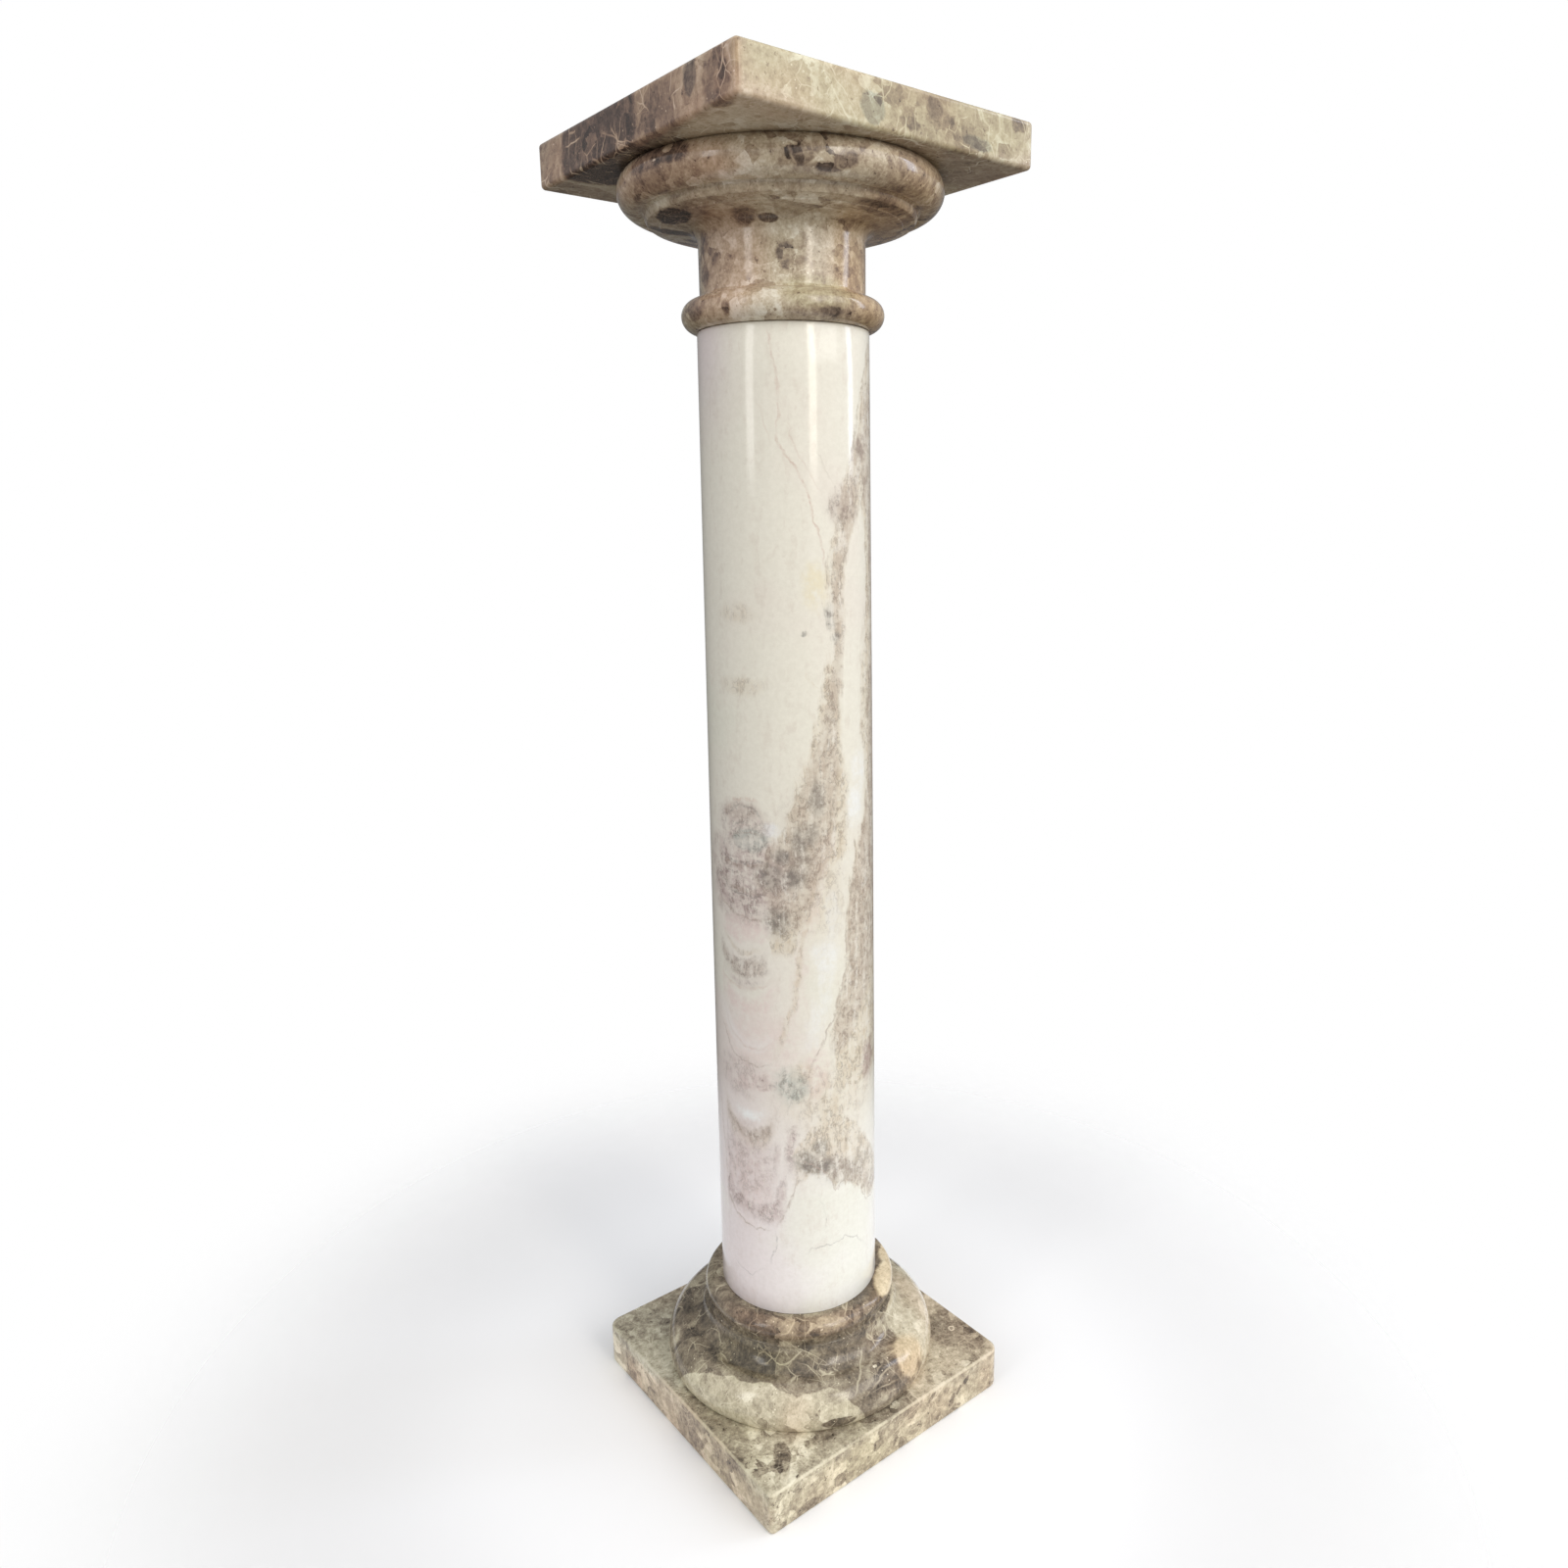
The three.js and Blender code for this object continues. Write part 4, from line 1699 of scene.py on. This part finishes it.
TOP_SLAB_LUMPS = (
    Lump(0.76, (-70, -120, 1000), (58, 60, 60), 0.95, 0.2),
    Lump(0.56, (-127, -58, 1000), (12, 44, 40), 0.9, 0.3),
    Lump(0.14, (-118, 38, 1000), (62, 52, 50), 0.95, 0.14),
    Lump(0.3, (-125, -40, 996), (10, 20, 14), 0.6, 0.8),
    Lump(0.5, (-122, 118, 1000), (60, 27, 50), 0.95, 0.08),
    Lump(0.42, (-125, -78, 1007), (8, 8, 13), 0.95, 0.2),
    Lump(0.7, (-125, -89, 1000), (10, 3, 24), 0.8, 0.4),
    Lump(0.34, (-125, -106, 1000), (12, 13, 26), 0.85, 0.3),
    Lump(0.16, (-125, -113, 1000), (6, 4.5, 6), 0.9, 0.4),
    Lump(0.7, (-25, -125, 1008), (14, 12, 9), 0.8, 0.3),
    Lump(0.6, (-22, -125, 995), (9.5, 10, 10), 1.0, 0.14),
    Lump(0.54, (14, -125, 998), (34, 20, 12), 0.85, 0.4),
    Lump(0.62, (60, -125, 1000), (80, 20, 30), 0.4, 0.4),
    Lump(0.4, (8, -125, 992), (9, 8, 4), 0.8, 0.3, (0, 20, 0)),
    Lump(0.42, (48, -125, 994), (7, 8, 4), 0.8, 0.3, (0, 40, 0)),
    Lump(0.36, (30, -125, 1003), (7, 8, 7), 0.8, 0.4),
    Lump(0.78, (58, -125, 1006), (22, 12, 7), 0.7, 0.4),
    Lump(0.68, (92, -125, 996), (36, 26, 16), 0.75, 0.4),
    Lump(0.5, (69, -125, 990), (13, 8, 4), 0.9, 0.2),
    Lump(0.38, (110, -125, 1008), (8, 8, 4.5), 0.85, 0.3),
    # painted shade: a darker lump on the underside, towards the right face
    Lump(0.5, (80, -85, 982), (50, 26, 8), 0.7, 0.5),
)

TOP_SLAB_CASTS = (
    (Cast.PINK, Lump(0, (-132, -20, 1000), (12, 170, 40), 1.0, 0.4)),
    (Cast.BLUE, Lump(0, (-22, -125, 995), (10, 10, 10.5), 1.0, 0.2)),
    (Cast.BLUE, Lump(0, (-125, -78, 1007), (8, 8, 13), 1.0, 0.2)),
    (Cast.BLUE, Lump(0, (69, -125, 990), (14, 8, 5), 0.9, 0.3)),
    (Cast.GREEN, Lump(0, (0, -130, 1002), (150, 12, 26), 1.0, 0.4)),
)


@dataclass
class TopSlab(Stone):
    """The square slab on top."""

    name: str = "top_slab"
    side: float = 250.0
    bed: float = 982.3
    height: float = 30.8
    corner: float = 3.5
    arris: float = 3.0

    def build(self) -> bpy.types.Object:
        """Cuts the slab.

        Returns:
            The piece.
        """
        corners = {(across, back): self.corner for across in (-1, 1) for back in (-1, 1)}
        return cut_slab("top_slab_stone", self.side, self.bed, self.height, corners, self.arris)

    def dress(self, piece: bpy.types.Object) -> bpy.types.Object:
        """Gives the slab its marble.

        Args:
            piece: the built mesh object.

        Returns:
            The same object.
        """
        finish = Breccia(
            "top_slab_marble",
            TAUPES,
            middle=0.6,
            contrast=0.7,
            mottle=1.0,
            threads=0.9,
            gloss=0.22,
            lumps=TOP_SLAB_LUMPS,
            casts=TOP_SLAB_CASTS,
        )
        return self.seat(piece, finish.make())


# ---------------------------------------------------------------- studio


@dataclass
class Studio:
    """A pale floor that fades into a white room, plain light and the photograph's camera."""

    floor_radius: float = 0.75
    floor_sides: int = 96
    floor_depth: float = 0.02

    def build_floor(self) -> bpy.types.Object:
        """Lays the floor.

        Returns:
            The floor.
        """
        bpy.ops.object.select_all(action="DESELECT")
        bpy.ops.mesh.primitive_circle_add(
            vertices=self.floor_sides, radius=self.floor_radius, fill_type="NGON"
        )
        floor = bpy.context.object
        floor.name = floor.data.name = "floor"
        bpy.ops.object.mode_set(mode="EDIT")
        bpy.ops.mesh.select_all(action="SELECT")
        bpy.ops.mesh.extrude_region_move(
            TRANSFORM_OT_translate={"value": (0, 0, -self.floor_depth)}
        )
        finish_mesh(floor)
        material, bench = new_material("pale_floor")
        place = Wire(bench, bench.place)
        colour = bench.tint(bench.noise(place, 3.0), linear(0xF6F5F3), linear(0xFBFAF9))
        away = bench.vector("LENGTH", place, output="Value")
        shader = bench.node(
            "ShaderNodeBsdfPrincipled",
            None,
            {"Base Color": colour, "Roughness": 0.7, "Alpha": away.rise(0.7, 0.24)},
        )
        bench.node("ShaderNodeOutputMaterial", None, {0: shader.outputs[0]})
        floor.data.materials.append(material)
        return floor

    def place_light(
        self,
        name: str,
        bearing: float,
        distance: float,
        height: float,
        size: Point,
        strength: float,
        colour: int,
        aim: float = 0.6,
    ) -> bpy.types.Object:
        """Hangs one soft light that faces the column.

        Args:
            name: the light's name.
            bearing: degrees round from the camera, to the right.
            distance: metres from the column's axis.
            height: height of its middle, in metres.
            size: width and height of the light.
            strength: brightness of its face, where 1 is white.
            colour: colour as 0xRRGGBB.
            aim: height on the axis that it faces.

        Returns:
            The light.
        """
        data = bpy.data.lights.new(name, "AREA")
        data.shape = "RECTANGLE"
        data.size, data.size_y = size
        data.energy = strength * math.pi * size[0] * size[1]
        data.color = linear(colour)[:3]
        light = bpy.data.objects.new(name, data)
        bpy.context.collection.objects.link(light)
        angle = math.radians(bearing)
        spot = (
            Vector(Round.TO_CAMERA.value) * math.cos(angle)
            + Vector(Round.TO_RIGHT.value) * math.sin(angle)
        ) * distance
        spot.z = height
        light.location = spot
        light.rotation_euler = (Vector((0, 0, aim)) - spot).to_track_quat("-Z", "Y").to_euler()
        return light

    def light(self) -> None:
        """Hangs the lights and fills the room."""
        self.place_light("left_window", -46, 2.7, 2.0, (0.5, 2.2), 4.0, 0xFFFDFA, aim=2.0)
        self.place_light("right_window", 37, 2.7, 2.0, (0.5, 2.2), 5.6, 0xFFF8EA, aim=2.0)
        self.place_light("far_window", 97, 2.7, 2.0, (0.45, 2.2), 5.2, 0xE2ECFF, aim=2.0)
        self.place_light("soft_key", 55, 3.2, 2.6, (2.6, 2.2), 2.1, 0xFFFDFC, aim=0.5)
        world = bpy.data.worlds.new("room")
        bpy.context.scene.world = world
        bench = Bench(world, "Generated")
        aim = Wire(bench, bench.place)
        height, right, front = (
            bench.vector("DOT_PRODUCT", aim, way, output="Value")
            for way in ((0.0, 0.0, 1.0), Round.TO_RIGHT.value, Round.TO_CAMERA.value)
        )
        daylight = bench.tint(height.rise(-0.55, 0.4), linear(0x756D63), linear(0xF0F2F6))
        strength = (front.rise(-1.0, 0.1) * 0.78 + 0.3) * (right.rise(-1.0, 0.6) * 0.3 + 0.8)
        room = bench.node("ShaderNodeBackground", None, {"Color": daylight, "Strength": strength})
        paper = bench.node("ShaderNodeBackground", None, {"Color": (1.0, 1.0, 1.0, 1.0)})
        seen = bench.node("ShaderNodeLightPath")
        mixed = bench.node(
            "ShaderNodeMixShader",
            None,
            {0: seen.outputs["Is Camera Ray"], 1: room.outputs[0], 2: paper.outputs[0]},
        )
        bench.node("ShaderNodeOutputWorld", None, {0: mixed.outputs[0]})

    def set_camera(self) -> bpy.types.Object:
        """Puts the camera where the photograph was taken.

        Returns:
            The camera.
        """
        data = bpy.data.cameras.new("photo_camera")
        data.sensor_fit = "HORIZONTAL"
        data.sensor_width = 36.0
        data.lens = 26.489
        data.shift_x = -0.0255
        data.shift_y = -0.0048
        data.clip_start = 0.05
        camera = bpy.data.objects.new("photo_camera", data)
        bpy.context.collection.objects.link(camera)
        forward = Vector((0.61107, 0.75933, -0.22361)).normalized()
        right = Vector((0.77756, -0.62873, -0.01016)).normalized()
        up = right.cross(forward).normalized()
        turned = Matrix((right, up, -forward)).transposed().to_4x4()
        camera.matrix_world = Matrix.Translation((-0.54045, -0.71357, 0.75254)) @ turned
        bpy.context.scene.camera = camera
        return camera

    def set_view(self) -> None:
        """Shows colours as they are, with no film look."""
        view = bpy.context.scene.view_settings
        view.view_transform = "Standard"
        view.look = "None"
        view.exposure = 0.0
        view.gamma = 1.0


def main() -> None:
    """Builds the studio and the five stones, from the floor up."""
    logging.basicConfig(level=logging.INFO, format="%(name)s: %(message)s")
    studio = Studio()
    studio.set_view()
    studio.set_camera()
    studio.build_floor()
    studio.light()
    for stone in (Plinth(), Base(), Shaft(), Capital(), TopSlab()):
        piece = stone.dress(stone.build())
        faces, nodes = len(piece.data.polygons), len(piece.data.materials[0].node_tree.nodes)
        log.info("%s: %d faces, %d nodes", piece.name, faces, nodes)


if __name__ == "__main__":
    main()
